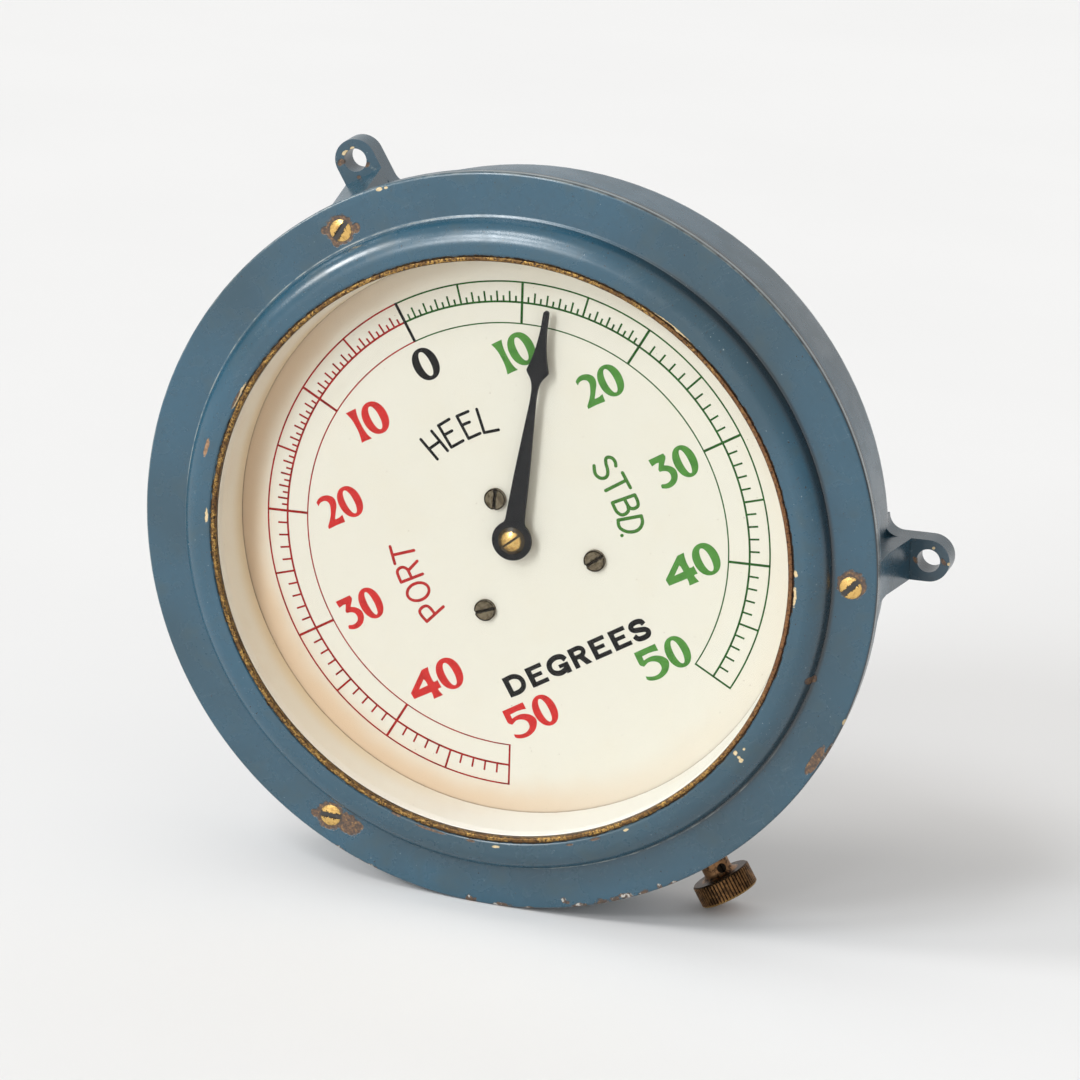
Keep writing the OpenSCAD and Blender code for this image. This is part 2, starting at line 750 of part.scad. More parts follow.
module set_screw_view() {
    lock_view() rotate([0, 0, 90 - set_screw_turn]) translate([0, 0, set_screw_at])
        rotate([0, 90, 0]) children();
}

module lock_knob() color(bronze_tone) difference() {
    lock_view() {
        translate([0, 0, knob_face]) intersection() {
            linear_extrude(knob_height) polygon([
                for (i = [0:knurl_count - 1], k = [0:3])
                    let (
                        a = 360 / knurl_count * (i + [-0.27, 0.27, 0.42, 0.58][k]),
                        r = knob_diameter / 2 - (k > 1 ? knurl_depth : 0)
                    ) r * [cos(a), sin(a)]
            ]);
            rotate_extrude() polygon([
                [0, 0], [knob_diameter / 2 - knob_chamfer, 0], [knob_diameter / 2 + 0.1, knob_chamfer + 0.1],
                [knob_diameter / 2 + 0.1, knob_height - knob_chamfer - 0.1],
                [knob_diameter / 2 - knob_chamfer, knob_height], [0, knob_height]
            ]);
        }
        rotate_extrude() difference() {
            translate([0, neck_start])
                square([neck_diameter / 2 + neck_flare, knob_face + 0.5 - neck_start]);
            translate([neck_diameter / 2, neck_start - 1])
                square([neck_flare + 1, knob_face - neck_flare - neck_start + 1]);
            translate([neck_diameter / 2 + neck_flare, knob_face - neck_flare]) circle(r = neck_flare);
        }
    }
    lock_view() translate([0, 0, neck_start - 1])
        cylinder(r = spindle_diameter / 2 + fit, h = spindle_end - neck_start + 1);
    set_screw_view() cylinder(r = set_screw_radius, h = neck_diameter);
}

module knob_set_screw() color(steel_tone) set_screw_view() difference() {
    translate([0, 0, spindle_diameter / 2 + 0.1]) cylinder(r = set_screw_radius, h = set_screw_length);
    translate([-3, -0.3, spindle_diameter / 2 + 0.7]) cube([6, 0.6, 3]);
}

case_body();
bezel();
bezel_gasket();
bezel_screws();
glass();
glass_seal();
glass_retainer();
reflector_ring();
dial_plate();
dial_screws();
dial_posts();
front_plate();
back_plate();
pillars();
pillar_screws();
foot_screws();
front_bushes();
back_bushes();
stop_pins();
pendulum_arbor();
pendulum_collar();
pendulum_rod();
pendulum_hub();
hub_rivets();
sector_gear();
bob();
bob_screws();
pointer_arbor();
pinion();
pointer_boss();
pointer();
pointer_screw();
lock_bush();
bush_washer();
brake_shoe();
brake_pad();
lock_spindle();
lock_knob();
knob_set_screw();
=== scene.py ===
import math
import bmesh
import bpy
import numpy as np
from mathutils import Matrix, Vector
from mathutils.geometry import delaunay_2d_cdt


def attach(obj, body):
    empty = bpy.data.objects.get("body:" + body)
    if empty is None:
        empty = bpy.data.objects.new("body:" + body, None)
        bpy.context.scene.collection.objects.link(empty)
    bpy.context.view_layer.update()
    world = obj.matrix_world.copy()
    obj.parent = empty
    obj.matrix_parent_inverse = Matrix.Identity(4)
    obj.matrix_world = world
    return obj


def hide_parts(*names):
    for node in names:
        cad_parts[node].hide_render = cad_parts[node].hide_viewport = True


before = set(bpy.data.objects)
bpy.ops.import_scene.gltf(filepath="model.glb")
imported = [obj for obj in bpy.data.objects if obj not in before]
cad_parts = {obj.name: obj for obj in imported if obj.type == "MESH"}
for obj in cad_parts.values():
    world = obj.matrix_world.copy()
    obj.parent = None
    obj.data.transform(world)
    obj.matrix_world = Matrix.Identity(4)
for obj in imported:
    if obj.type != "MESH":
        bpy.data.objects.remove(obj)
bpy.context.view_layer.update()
mm = 0.001
print("frame loaded:", len(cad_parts), "nodes")

# the camera, as the photograph was taken
cameraView = {
    "place": (0.57492, -1.40211, 0.17339),
    "right": (0.84234513, 0.29051726, -0.45393215),
    "up": (0.38189038, 0.27256445, 0.88310155),
    "back": (0.38028201, -0.91722862, 0.11864759),
    "lens": 164.83,
    "sensor": 36.0,
}


def newObject(name, data):
    made = bpy.data.objects.new(name, data)
    bpy.context.scene.collection.objects.link(made)
    return made


def makeCamera(spec):
    data = bpy.data.cameras.new("photoCamera")
    data.sensor_width = spec["sensor"]
    data.lens = spec["lens"]
    data.clip_start, data.clip_end = 0.1, 40.0
    camera = newObject("photoCamera", data)
    turn = Matrix([spec["right"], spec["up"], spec["back"]]).transposed()
    camera.matrix_world = Matrix.Translation(spec["place"]) @ turn.to_4x4()
    bpy.context.scene.camera = camera


makeCamera(cameraView)
bpy.context.scene.view_settings.view_transform = "Standard"

# mm along the rim for each degree, where the rim's way round is used as a coordinate
rimScale = 2.0


# draws in a node tree: each method adds nodes and hands back what comes out
class Drawing:
    def __init__(self, tree):
        self.tree = tree

    # a value is a socket, a tone's name, a tone or a number
    def link(self, socket, value):
        if isinstance(value, str):
            value = tones[value]
        if isinstance(value, bpy.types.NodeSocket):
            self.tree.links.new(value, socket)
        elif isinstance(value, tuple) and socket.type == "RGBA":
            socket.default_value = (*value, 1.0)
        else:
            socket.default_value = value

    def add(self, kind, inputs=None, **settings):
        node = self.tree.nodes.new("ShaderNode" + kind)
        for key, value in settings.items():
            setattr(node, key, value)
        for socket, value in (inputs or {}).items():
            self.link(node.inputs[socket], value)
        return node

    # smooth step of a value from low to high
    def fade(self, value, low, high, bottom=0.0, top=1.0):
        inputs = {0: value, 1: low, 2: high, 3: bottom, 4: top}
        return self.add("MapRange", inputs, interpolation_type="SMOOTHSTEP").outputs[0]

    def tint(self, amount, under, over):
        return self.add("Mix", {0: amount, 6: under, 7: over}, data_type="RGBA").outputs[2]


# draws a material, lengths in mm; `colour` is the base colour so far
class Finish(Drawing):
    def __init__(self, name, **fixed):
        self.material = bpy.data.materials.new(name)
        self.material.use_nodes = True
        super().__init__(self.material.node_tree)
        self.tree.nodes.clear()
        fixed = {socket.replace("_", " "): value for socket, value in fixed.items()}
        self.shader = self.add("BsdfPrincipled", fixed)
        self.surface = self.add("OutputMaterial", {0: self.shader.outputs[0]}).inputs[0]
        metres = self.add("TexCoord").outputs["Object"]
        scaled = self.add("VectorMath", operation="SCALE")
        self.link(scaled.inputs[0], metres)
        self.link(scaled.inputs["Scale"], 1.0 / mm)
        self.place = scaled.outputs[0]
        self.x, self.y, self.z = self.add("SeparateXYZ", {0: self.place}).outputs
        self.normal = None

    # lays a tone over the colour so far
    def coat(self, mask, tone):
        self.colour = self.tint(mask, self.colour, tone)

    def math(self, task, a, b=0.0, clamp=False):
        return self.add("Math", {0: a, 1: b}, operation=task, use_clamp=clamp).outputs[0]

    def plus(self, a, b):
        return self.math("ADD", a, b)

    def minus(self, a, b):
        return self.math("SUBTRACT", a, b)

    def times(self, a, b):
        return self.math("MULTIPLY", a, b)

    def both(self, a, b):
        return self.math("MULTIPLY", a, b, clamp=True)

    def either(self, a, b):
        return self.math("MAXIMUM", a, b)

    # how far a value is from a number, either way
    def off(self, value, number):
        return self.math("ABSOLUTE", self.minus(value, number))

    # a place times one vector plus another
    def moved(self, place, scale, shift):
        inputs = {0: place, 1: scale, 2: shift}
        return self.add("VectorMath", inputs, operation="MULTIPLY_ADD").outputs[0]

    # noise in blobs of about `size` mm, stretched along the axes by `stretch`
    def noise(self, size, detail=3.0, rough=0.55, shift=0.0, stretch=(1.0, 1.0, 1.0)):
        scale = [1.0 / (size * s) for s in stretch]
        place = self.moved(self.place, scale, (shift, shift * 0.37, -shift * 0.71))
        inputs = {"Vector": place, "Scale": 1.0, "Detail": detail, "Roughness": rough}
        return self.add("TexNoise", inputs).outputs[0]

    # small specks where fine noise is above `low`
    def specks(self, size, shift, low, amount):
        return self.times(self.fade(self.noise(size, 1.0, 0.3, shift), low, low + 0.025), amount)

    # distance from the dial's axis: the root of x squared plus z squared
    def radius(self, x=None, z=None):
        squares = [self.math("POWER", value, 2.0) for value in (x or self.x, z or self.z)]
        return self.math("SQRT", self.plus(*squares))

    # distance to a point with each axis divided by its own half width
    def distance(self, point, halves, place=None):
        shift = [-p / h for p, h in zip(point, halves)]
        place = self.moved(place or self.place, [1.0 / h for h in halves], shift)
        return self.add("VectorMath", {0: place}, operation="LENGTH").outputs["Value"]

    # the same place as radius, way round the rim from its lowest point, and depth
    def roundPlace(self):
        angle = self.math("ARCTAN2", self.times(self.x, -1.0), self.times(self.z, -1.0))
        around = self.times(angle, math.degrees(rimScale))
        return self.add("CombineXYZ", {0: self.radius(), 1: around, 2: self.y}).outputs[0]

    # 1 inside any of the spots, 0 outside, with a torn outline
    def spots(self, group, ragged, torn, place=None):
        nearest = None
        for point, halves in group:
            away = self.distance(point, halves, place)
            nearest = away if nearest is None else self.math("MINIMUM", nearest, away)
        return self.fade(self.plus(nearest, self.times(ragged, torn)), 1.08, 0.92)

    # raises the surface by `height` times `deep` mm
    def bump(self, height, deep):
        node = self.add("Bump", {"Strength": 1.0, "Distance": deep * mm, "Height": height})
        if self.normal:
            self.link(node.inputs["Normal"], self.normal)
        self.normal = node.outputs[0]
        self.link(self.shader.inputs["Normal"], self.normal)

    # shows one shader or the other by `amount`
    def blend(self, amount, under, over):
        mix = self.add("MixShader", {0: amount, 1: under.outputs[0], 2: over.outputs[0]})
        self.link(self.surface, mix.outputs[0])

    def finish(self, roughness, metallic=0.0):
        values = {"Base Color": self.colour, "Roughness": roughness, "Metallic": metallic}
        for socket, value in values.items():
            self.link(self.shader.inputs[socket], value)
        return self.material


# tones of the paint and what shows through it, bare metal, dial, ring and knob
tones = {
    "blue": (0.012, 0.070, 0.116),
    "deep": (0.010, 0.049, 0.076),
    "grimy": (0.030, 0.056, 0.058),
    "undercoat": (0.52, 0.38, 0.19),
    "cream": (0.66, 0.52, 0.30),
    "ochre": (0.34, 0.18, 0.080),
    "rust": (0.150, 0.070, 0.024),
    "umber": (0.036, 0.017, 0.008),
    # dark specks, and the painted shade on the bezel and the case
    "sootAndShade": (0.014, 0.014, 0.015),
    "scuff": (0.15, 0.21, 0.24),
    # rubbed paint, and the painted highlight in the bezel's light lines
    "worn": (0.24, 0.27, 0.26),
    "dust": (0.42, 0.50, 0.52),
    "chalk": (0.50, 0.49, 0.45),
    "gold": (0.50, 0.30, 0.080),
    "brown": (0.125, 0.060, 0.020),
    "red": (0.19, 0.080, 0.036),
    "black": (0.010, 0.007, 0.005),
    "dialCream": (0.770, 0.722, 0.632),
    "dialWarm": (0.745, 0.665, 0.530),
    # tan stains, and the painted shadow in the dial's margin
    "dialTanAndShade": (0.71, 0.51, 0.34),
    "dialEdge": (0.20, 0.105, 0.045),
    "ringWhite": (0.92, 0.895, 0.845),
    # painted warm shade on the ring's port side
    "ringPortShade": (0.86, 0.71, 0.50),
    "knobHollow": (0.040, 0.021, 0.011),
    "knobSkin": (0.105, 0.055, 0.024),
    "knobRidge": (0.235, 0.120, 0.046),
    "knobNeck": (0.34, 0.18, 0.085),
    "knobEdge": (0.46, 0.28, 0.09),
}
# chips on the bezel: radius, degrees from the lowest point clockwise,
# then half widths in mm across and along the rim
bezelChips = {
    "ochre": [
        (95.6, 134, 0.95, 4.9),
    ],
    "tan": [
        (92.6, 121, 0.7, 4.4), (91.9, 146, 0.6, 8), (94, -26.7, 0.7, 0.9), (92.7, -25, 0.9, 1.1),
        (94.4, -24.8, 1, 0.9), (95.4, -24.6, 1, 1.3), (92.6, 2.4, 0.6, 1.6), (93, 28.6, 0.65, 2.3),
        (91.9, -62.9, 0.95, 1.9), (91.8, -58.8, 0.95, 5.6), (91.6, -115.5, 0.55, 12),
        (114.2, -171.4, 0.6, 1.1), (114.1, -170.3, 0.4, 0.6), (101.9, -43, 0.45, 0.8),
        (114.9, -38.6, 0.5, 1),
    ],
    "brown": [
        (92.5, 8.9, 0.6, 2.8), (92.7, 14, 0.5, 2), (92.3, 33.6, 0.6, 2.6), (92.2, 42, 0.55, 10),
        (91.9, 49, 0.5, 3.5), (101, -43.2, 1.5, 1.5), (113, -30.8, 1.5, 5.4), (92.2, 145, 0.5, 6),
        (107.1, 60, 4.4, 5), (106.2, 56.8, 3.3, 4.8), (105, 55.4, 1.5, 2.6), (109.6, 62.3, 1.3, 1.6),
        (107.2, 180, 4.4, 5), (107.2, -180, 4.4, 5), (105.8, -177.5, 1.5, 1.7), (109.1, 177.7, 1.3, 1.6),
        (104.3, 178.3, 1.4, 1.3), (107.2, -60.5, 4.4, 4.5), (109.3, -60, 2.3, 2.4),
    ],
    "flaky": [
        (115.2, 56.3, 0.8, 2.2), (115.3, 52, 0.7, 2.4), (115.2, 50.2, 0.8, 2), (115.2, 46.6, 0.6, 0.8),
        (114.5, 33.7, 1.3, 1.8), (114.9, 28.7, 1.1, 2.7), (115.1, 24.5, 0.9, 1.5),
        (112.3, 18.6, 0.9, 0.9), (113.3, 18.1, 0.6, 0.7), (114.7, 16.3, 0.9, 2), (114.6, 12.7, 1.1, 2.3),
        (114.5, 10.3, 1, 1.6), (114.2, 8.6, 1.2, 2.1), (114.6, 5.6, 1, 1.6), (114.2, 2.8, 0.8, 0.9),
        (115.1, 0.5, 0.7, 1.6), (114.9, -33, 0.7, 3),
    ],
}
# the bezel's lines of rubbed paint, painted highlight and painted shade: radii in mm
bezelLines = {
    "plinth": 101.88, "foot": 101.2, "rim": 114.75,
    "edge": (114.62, 114.85), "side": (114.90, 114.97),
}
# the bare lip: where the paint stops, the bore, and the depth of a thread line, in mm
lip = {"paintEnds": (91.55, 91.40), "bore": (90.0, 89.8), "pitch": 0.62, "rough": 0.38}
# chips on the case: a point and its half widths, in mm
caseChips = {
    "wall": [
        ((82.3, -27.0, 72.2), (1.0, 1.3, 1.0)), ((80.3, -30.0, 74.5), (0.4, 0.6, 0.4)),
        ((103.0, -24.0, 37.0), (0.5, 0.5, 0.5)),
    ],
    "lugBare": [
        ((-1.7, -8.0, 125.9), (1.2, 1.3, 0.6)), ((0.9, -8.0, 126.2), (0.8, 1.2, 0.4)),
        ((111.4, -8.0, -64.7), (0.5, 1.2, 0.4)), ((109.4, -8.0, -58.4), (0.5, 1.2, 0.4)),
    ],
    "lugBrown": [
        ((-4.3, -8.0, 123.8), (1.3, 1.6, 0.9)), ((-1.5, -8.0, 117.4), (0.7, 1.5, 0.5)),
        ((2.7, -8.0, 119.7), (1.0, 1.6, 0.8)), ((110.2, -8.0, -63.4), (0.6, 1.5, 1.3)),
        ((102.6, -8.0, -59.6), (0.7, 1.5, 1.2)),
    ],
}
# slots of the screws: middle x and z in mm, then the turn in degrees
bezelSlots = ((0.0, 107.0, 29.0), (92.66, -53.5, 15.0), (-92.66, -53.5, -35.0))
dialSlots = ((0.0, 13.2, 57.0), (19.7, -16.4, 7.0), (-19.7, -16.4, -12.0))


# the painted skin: blue, darker and greyer in clouds, with specks, dust and hair scratches, then its wear,
# with the painted shade and painted highlight that the wear function hands back
def paintWork(name, wear, bare=None):
    f = Finish(name, IOR=1.5, Specular_IOR_Level=0.88)
    cloud = f.noise(9.0, 4.0, 0.6, 3.0)
    grain = f.noise(0.55, 3.0, 0.7)
    f.colour = f.tint(f.fade(f.noise(60.0, 2.0, 0.5), 0.35, 0.65), "blue", "deep")
    f.coat(f.fade(cloud, 0.48, 0.80, 0.0, 0.45), "grimy")
    f.coat(f.fade(f.noise(2.2, 4.0, 0.7, 19.0), 0.50, 0.72, 0.0, 0.45), "deep")
    f.coat(f.fade(grain, 0.5, 0.8, 0.0, 0.30), "deep")
    upright = f.fade(f.noise(1.0, 1.0, 0.4, 11.0, (9.0, 9.0, 0.10)), 0.70, 0.76)
    level = f.fade(f.noise(1.0, 1.0, 0.4, 23.0, (0.10, 9.0, 9.0)), 0.71, 0.77)
    scratch = f.both(f.fade(f.noise(14.0, 2.0, 0.5, 31.0), 0.52, 0.62), f.either(upright, level))
    f.coat(f.times(scratch, 0.35), "scuff")
    f.coat(f.specks(0.8, 41.0, 0.745, 0.8), "sootAndShade")
    f.coat(f.specks(0.6, 57.0, 0.785, 0.55), "dust")
    rough = f.fade(cloud, 0.3, 0.7, 0.22, 0.31)
    f.bump(f.noise(2.6, 2.0, 0.5, 5.0), 0.012)
    f.bump(grain, 0.007)

    ochre, tan, brown, flaky, shade, line, packed = wear(f)
    dirt = f.noise(0.7, 3.0, 0.65, 71.0)
    blotch = f.fade(dirt, 0.35, 0.65)
    rusty = f.tint(f.fade(dirt, 0.40, 0.62), "umber", "rust")
    rusty = f.tint(f.fade(dirt, 0.60, 0.74, 0.0, 0.7), rusty, "gold")
    chalk = f.both(flaky, f.fade(f.noise(0.9, 2.0, 0.5, 77.0), 0.56, 0.64))
    stripped = f.either(brown, flaky)
    # painted shade, then the light lines: rubbed paint, and on the bezel painted highlight
    f.coat(shade, "sootAndShade")
    f.coat(line, "worn")
    f.coat(ochre, f.tint(blotch, "rust", "ochre"))
    f.coat(tan, f.tint(blotch, "undercoat", "cream"))
    f.coat(stripped, f.tint(f.times(flaky, 0.55), rusty, "umber"))
    f.coat(f.times(chalk, 0.8), "chalk")
    f.coat(packed, "black")
    gone = f.either(stripped, f.either(tan, ochre))
    rough = f.plus(rough, f.times(gone, 0.25))
    f.bump(f.minus(1.0, gone), 0.11)
    if bare is None:
        return f.finish(rough)
    shown, grit = bare(f)
    rough = f.plus(f.times(rough, f.minus(1.0, shown)), f.times(shown, lip["rough"]))
    f.bump(f.times(shown, grit), 0.16)
    return f.finish(rough, f.times(shown, 0.8))


# wear and painted light on the bezel: the listed chips; light lines on the plinth's edge, the rim and the
# starboard side face, rubbed paint in dashes with painted highlight; painted shade at the moulding's foot and
# along the flange's starboard edge; and old paint packed in the screws' slots
def bezelWear(f):
    ragged = f.minus(f.noise(1.7, 4.0, 0.7, 7.0), 0.5)
    place = f.roundPlace()
    masks = []
    for kind, torn in (("ochre", 0.7), ("tan", 1.0), ("brown", 0.75), ("flaky", 2.6)):
        group = [((radius, rimScale * turn, -44.0), (across, along, 9.0))
                 for radius, turn, across, along in bezelChips[kind]]
        masks.append(f.spots(group, ragged, torn, place))
    r = f.radius()
    dashes = f.fade(f.noise(5.0, 3.0, 0.6, 83.0), 0.40, 0.60, 0.15, 0.85)
    # light line on the plinth's edge to port: rubbed paint in dashes, with painted highlight where the light
    # falls
    plinth = f.both(f.fade(f.off(r, bezelLines["plinth"]), 0.24, 0.10), dashes)
    plinth = f.both(plinth, f.fade(f.x, 62.0, 28.0))
    # light line on the rim's upper part: rubbed paint in dashes, with painted highlight from above
    upper = f.both(dashes, f.fade(f.z, -20.0, 40.0, 0.0, 0.6))
    rim = f.both(f.fade(f.off(r, bezelLines["rim"]), 0.28, 0.10), upper)
    # painted highlight on the flange's side face, to starboard
    starboard = f.both(f.fade(f.y, -42.3, -42.0), f.fade(f.x, 10.0, 60.0, 0.0, 0.7))
    side = f.both(f.fade(r, *bezelLines["side"]), starboard)
    # painted shade: a dark line along the flange's front edge, to starboard
    starboard = f.both(f.fade(f.y, -42.2, -42.6), f.fade(f.x, 20.0, 80.0, 0.0, 0.9))
    edge = f.both(f.fade(r, *bezelLines["edge"]), starboard)
    # painted shade at the moulding's foot, darkest to starboard and low down
    below = f.fade(f.plus(f.x, f.times(f.z, -0.5)), 20.0, 80.0, 0.0, 0.75)
    foot = f.both(f.fade(f.off(r, bezelLines["foot"]), 1.7, 0.2), below)
    packed = f.spots([((x, -43.0, z), (3.5, 9.0, 3.5)) for x, z, turn in bezelSlots], ragged, 0.0)
    return *masks, f.either(foot, edge), f.either(plinth, f.either(rim, side)), packed


# the lip inside the moulding is bare brass, gritty and lined, its paint broken off along a ragged edge
def bareLip(f):
    r = f.radius()
    ragged = f.minus(f.noise(2.6, 4.0, 0.65, 13.0), 0.5)
    shown = f.both(f.fade(f.plus(r, f.times(ragged, 1.7)), *lip["paintEnds"]), f.fade(f.y, -48.4, -48.9))
    grit = f.noise(0.8, 4.0, 0.8, 17.0)
    streak = f.fade(f.noise(6.0, 3.0, 0.6, 29.0), 0.44, 0.58, 0.0, 0.85)
    painted = f.colour
    f.colour = f.tint(f.fade(grit, 0.46, 0.60), "brown", "gold")
    f.coat(streak, "brown")
    starboard = f.both(f.fade(f.x, 10.0, 70.0, 0.0, 0.8), f.fade(f.z, 60.0, -10.0))
    f.coat(starboard, "red")
    # thread lines down the bore, a black line where the lip meets the glass, and black in the grit
    thread = f.fade(f.math("SINE", f.times(f.y, 2.0 * math.pi / lip["pitch"])), 0.1, 0.8, 0.0, 0.9)
    f.coat(f.both(f.fade(r, *lip["bore"]), thread), "black")
    groove = f.both(f.fade(r, 91.05, 91.2), f.fade(r, 91.75, 91.6))
    f.coat(f.times(f.either(f.fade(f.y, -49.3, -48.9), groove), 0.85), "black")
    f.coat(f.fade(grit, 0.49, 0.38, 0.0, 0.92), "black")
    f.colour = f.tint(shown, painted, f.colour)
    return shown, grit


# wear on the case: chips on lugs and wall and fine smears; painted shade under the flange and on the
# starboard lug
def caseWear(f):
    ragged = f.minus(f.noise(1.4, 4.0, 0.7, 9.0), 0.5)
    torn = {"wall": 1.5, "lugBare": 1.4, "lugBrown": 1.6}
    wall, lugBare, lugBrown = [f.spots(caseChips[kind], ragged, torn[kind]) for kind in torn]
    smear = f.fade(f.noise(1.0, 3.0, 0.6, 88.0, (2.5, 0.35, 2.5)), 0.66, 0.74)
    line = f.times(f.both(smear, f.fade(f.noise(16.0, 2.0, 0.5, 91.0), 0.48, 0.58)), 0.4)
    # painted shade: a dark band on the wall just under the flange, and a darker starboard lug
    underFlangeShade = f.both(f.fade(f.y, -38.9, -39.4), f.fade(f.radius(), 96.0, 97.0, 0.0, 0.85))
    starboardLugShade = f.fade(f.distance((106.0, -12.0, -61.0), (15.0, 15.0, 15.0)), 1.3, 0.8, 0.0, 0.35)
    return wall, lugBare, lugBrown, 0.0, f.either(underFlangeShade, starboardLugShade), line, 0.0


# 1 along each slot and in a ring round its head: distance across the slot below `wide`,
# distance from its middle near `reach`
def slotGrime(f, slots, ragged, wide, reach, depth):
    packed = 0.0
    for x, z, turn in slots:
        a = math.radians(turn)
        across = f.plus(f.times(f.minus(f.x, x), -math.sin(a)), f.times(f.minus(f.z, z), math.cos(a)))
        across = f.plus(f.math("ABSOLUTE", across), f.times(f.minus(ragged, 0.5), wide * 3.3))
        near = f.distance((x, depth, z), (reach, 20.0, reach))
        for mask in (f.fade(across, wide + 0.10, wide - 0.10), f.fade(near, 0.86, 0.90)):
            packed = f.either(packed, f.both(mask, f.fade(near, 1.0, 0.99)))
    return packed


# brass, cloudy and finely scratched, packed with old black paint below `slotDepth` and along the slots
def brassWork(name, tone, dark, shine=0.28, slotDepth=None, slots=()):
    f = Finish(name, IOR=1.45)
    cloud = f.noise(1.6, 4.0, 0.6)
    f.colour = f.tint(f.fade(cloud, 0.50, 0.72, 0.0, 0.7), tone, dark)
    metal = 1.0
    if slotDepth is not None:
        ragged = f.noise(0.9, 3.0, 0.7, 15.0)
        packed = f.fade(f.plus(f.y, f.times(ragged, 0.5)), *slotDepth)
        packed = f.either(packed, slotGrime(f, slots, ragged, 0.95, 3.8, -44.0))
        f.coat(f.times(packed, 0.95), "black")
        metal = f.minus(1.0, packed)
    f.bump(f.noise(0.18, 2.0, 0.6, 3.0), 0.012)
    f.bump(f.noise(1.0, 2.0, 0.4, 8.0, (6.0, 6.0, 0.06)), 0.006)
    return f.finish(f.fade(cloud, 0.35, 0.7, shine, shine + 0.2), metal)


def steelWork(name, tone, dark, shine=0.32, slots=()):
    f = Finish(name, IOR=1.45)
    cloud = f.noise(1.2, 4.0, 0.65)
    f.colour = f.tint(f.fade(cloud, 0.42, 0.62, 0.0, 0.8), tone, dark)
    if slots:
        packed = slotGrime(f, slots, f.noise(0.8, 3.0, 0.7, 15.0), 0.55, 3.3, -33.0)
        f.coat(f.times(packed, 0.9), "black")
    f.bump(f.noise(0.16, 2.0, 0.6, 5.0), 0.010)
    return f.finish(f.fade(cloud, 0.35, 0.7, shine, shine + 0.18), 0.9)


# the dial: cream, its margin a little yellowed all round and tan towards port and a little towards the top as
# painted shadow of the bezel's lip, with a brown line at its edge
def dialEnamel(name):
    f = Finish(name, IOR=1.45)
    r = f.radius()
    cloud = f.noise(22.0, 4.0, 0.6)
    margin = f.fade(f.plus(r, f.times(cloud, 6.0)), 78.0, 89.0)
    lean = f.plus(f.times(f.x, -0.011), f.times(f.z, 0.001))
    f.colour = f.tint(f.fade(cloud, 0.45, 0.75, 0.0, 0.25), "dialCream", "dialWarm")
    # painted shadow of the bezel's lip: tan in the margin, weak all round, strong towards port
    f.coat(f.both(margin, f.fade(lean, -0.5, 0.8, 0.12, 0.9)), "dialTanAndShade")
    f.coat(f.fade(r, 87.5, 88.2, 0.0, 0.65), "dialEdge")
    f.coat(f.specks(0.55, 33.0, 0.760, 0.7), "dialEdge")
    f.bump(f.noise(0.5, 3.0, 0.6, 4.0), 0.004)
    return f.finish(f.fade(cloud, 0.3, 0.7, 0.42, 0.52))


# the ring: white, tan on the port side and a little towards the top as painted warm shade, strongest where it
# nears the dial
def ringEnamel(name):
    f = Finish(name, IOR=1.45)
    lean = f.plus(f.times(f.x, -0.011), f.times(f.z, 0.006))
    # painted shade: the ring's port side, deeper nearer the dial
    portShade = f.both(f.fade(lean, -0.1, 0.9), f.fade(f.y, -40.0, -32.0, 0.45, 1.0))
    f.colour = f.tint(portShade, "ringWhite", "ringPortShade")
    f.coat(f.fade(f.noise(18.0, 4.0, 0.6, 2.0), 0.5, 0.7, 0.0, 0.12), "dialTanAndShade")
    f.coat(f.specks(0.7, 3.0, 0.785, 0.6), "dialEdge")
    f.bump(f.noise(3.0, 2.0, 0.5), 0.015)
    return f.finish(0.36)


def inkWork(name, bright, worn):
    f = Finish(name, IOR=1.45, Specular_IOR_Level=0.12)
    fine = f.noise(0.25, 2.0, 0.6, 6.0)
    f.bump(fine, 0.004)
    f.colour = f.tint(f.fade(f.noise(2.4, 4.0, 0.65), 0.42, 0.68), bright, worn)
    return f.finish(f.fade(fine, 0.3, 0.7, 0.42, 0.58))


# clear glass: what is behind shows through it, with a faint reflection by the Fresnel law
def windowGlass(name):
    f = Finish(name)
    smear = f.tint(f.fade(f.noise(14.0, 3.0, 0.5), 0.3, 0.7), (0.92, 0.95, 0.95), (1.0, 1.0, 1.0))
    clear = f.add("BsdfTransparent", {0: (0.985, 0.992, 0.988)})
    gloss = f.add("BsdfGlossy", {"Color": smear, "Roughness": 0.03})
    f.blend(f.add("Fresnel", {0: 1.17}).outputs[0], clear, gloss)
    f.tree.nodes.remove(f.shader)
    return f.material


def softMatt(name, tone, light, rough=0.7, gloss=0.5):
    f = Finish(name, IOR=1.45, Specular_IOR_Level=gloss)
    fine = f.noise(0.3, 2.0, 0.6, 7.0)
    f.bump(fine, 0.02)
    f.colour = f.tint(f.fade(f.noise(3.0, 4.0, 0.6), 0.4, 0.7), tone, light)
    return f.finish(f.fade(fine, 0.3, 0.7, rough, rough + 0.12))


# the knob: dark in the grooves and hollows, rubbed bright on the ridges, by the distance from its own axis
def knobBronze(name):
    f = Finish(name, IOR=1.45)
    out = f.radius(f.x, f.plus(f.y, 9.5))
    cloud = f.noise(1.8, 4.0, 0.65)
    fine = f.noise(0.2, 3.0, 0.6, 5.0)
    f.colour = f.tint(f.fade(cloud, 0.4, 0.7), "knobHollow", "knobSkin")
    f.coat(f.both(f.fade(out, 9.14, 9.38), f.fade(cloud, 0.36, 0.62, 0.2)), "knobRidge")
    f.coat(f.both(f.fade(out, 6.6, 5.6), f.fade(cloud, 0.40, 0.56, 0.1)), "knobNeck")
    f.coat(f.times(f.both(f.fade(f.z, -131.2, -131.7), f.fade(out, 8.6, 9.0)), 0.8), "knobEdge")
    f.bump(fine, 0.015)
    return f.finish(f.fade(fine, 0.3, 0.7, 0.34, 0.52), 0.85)


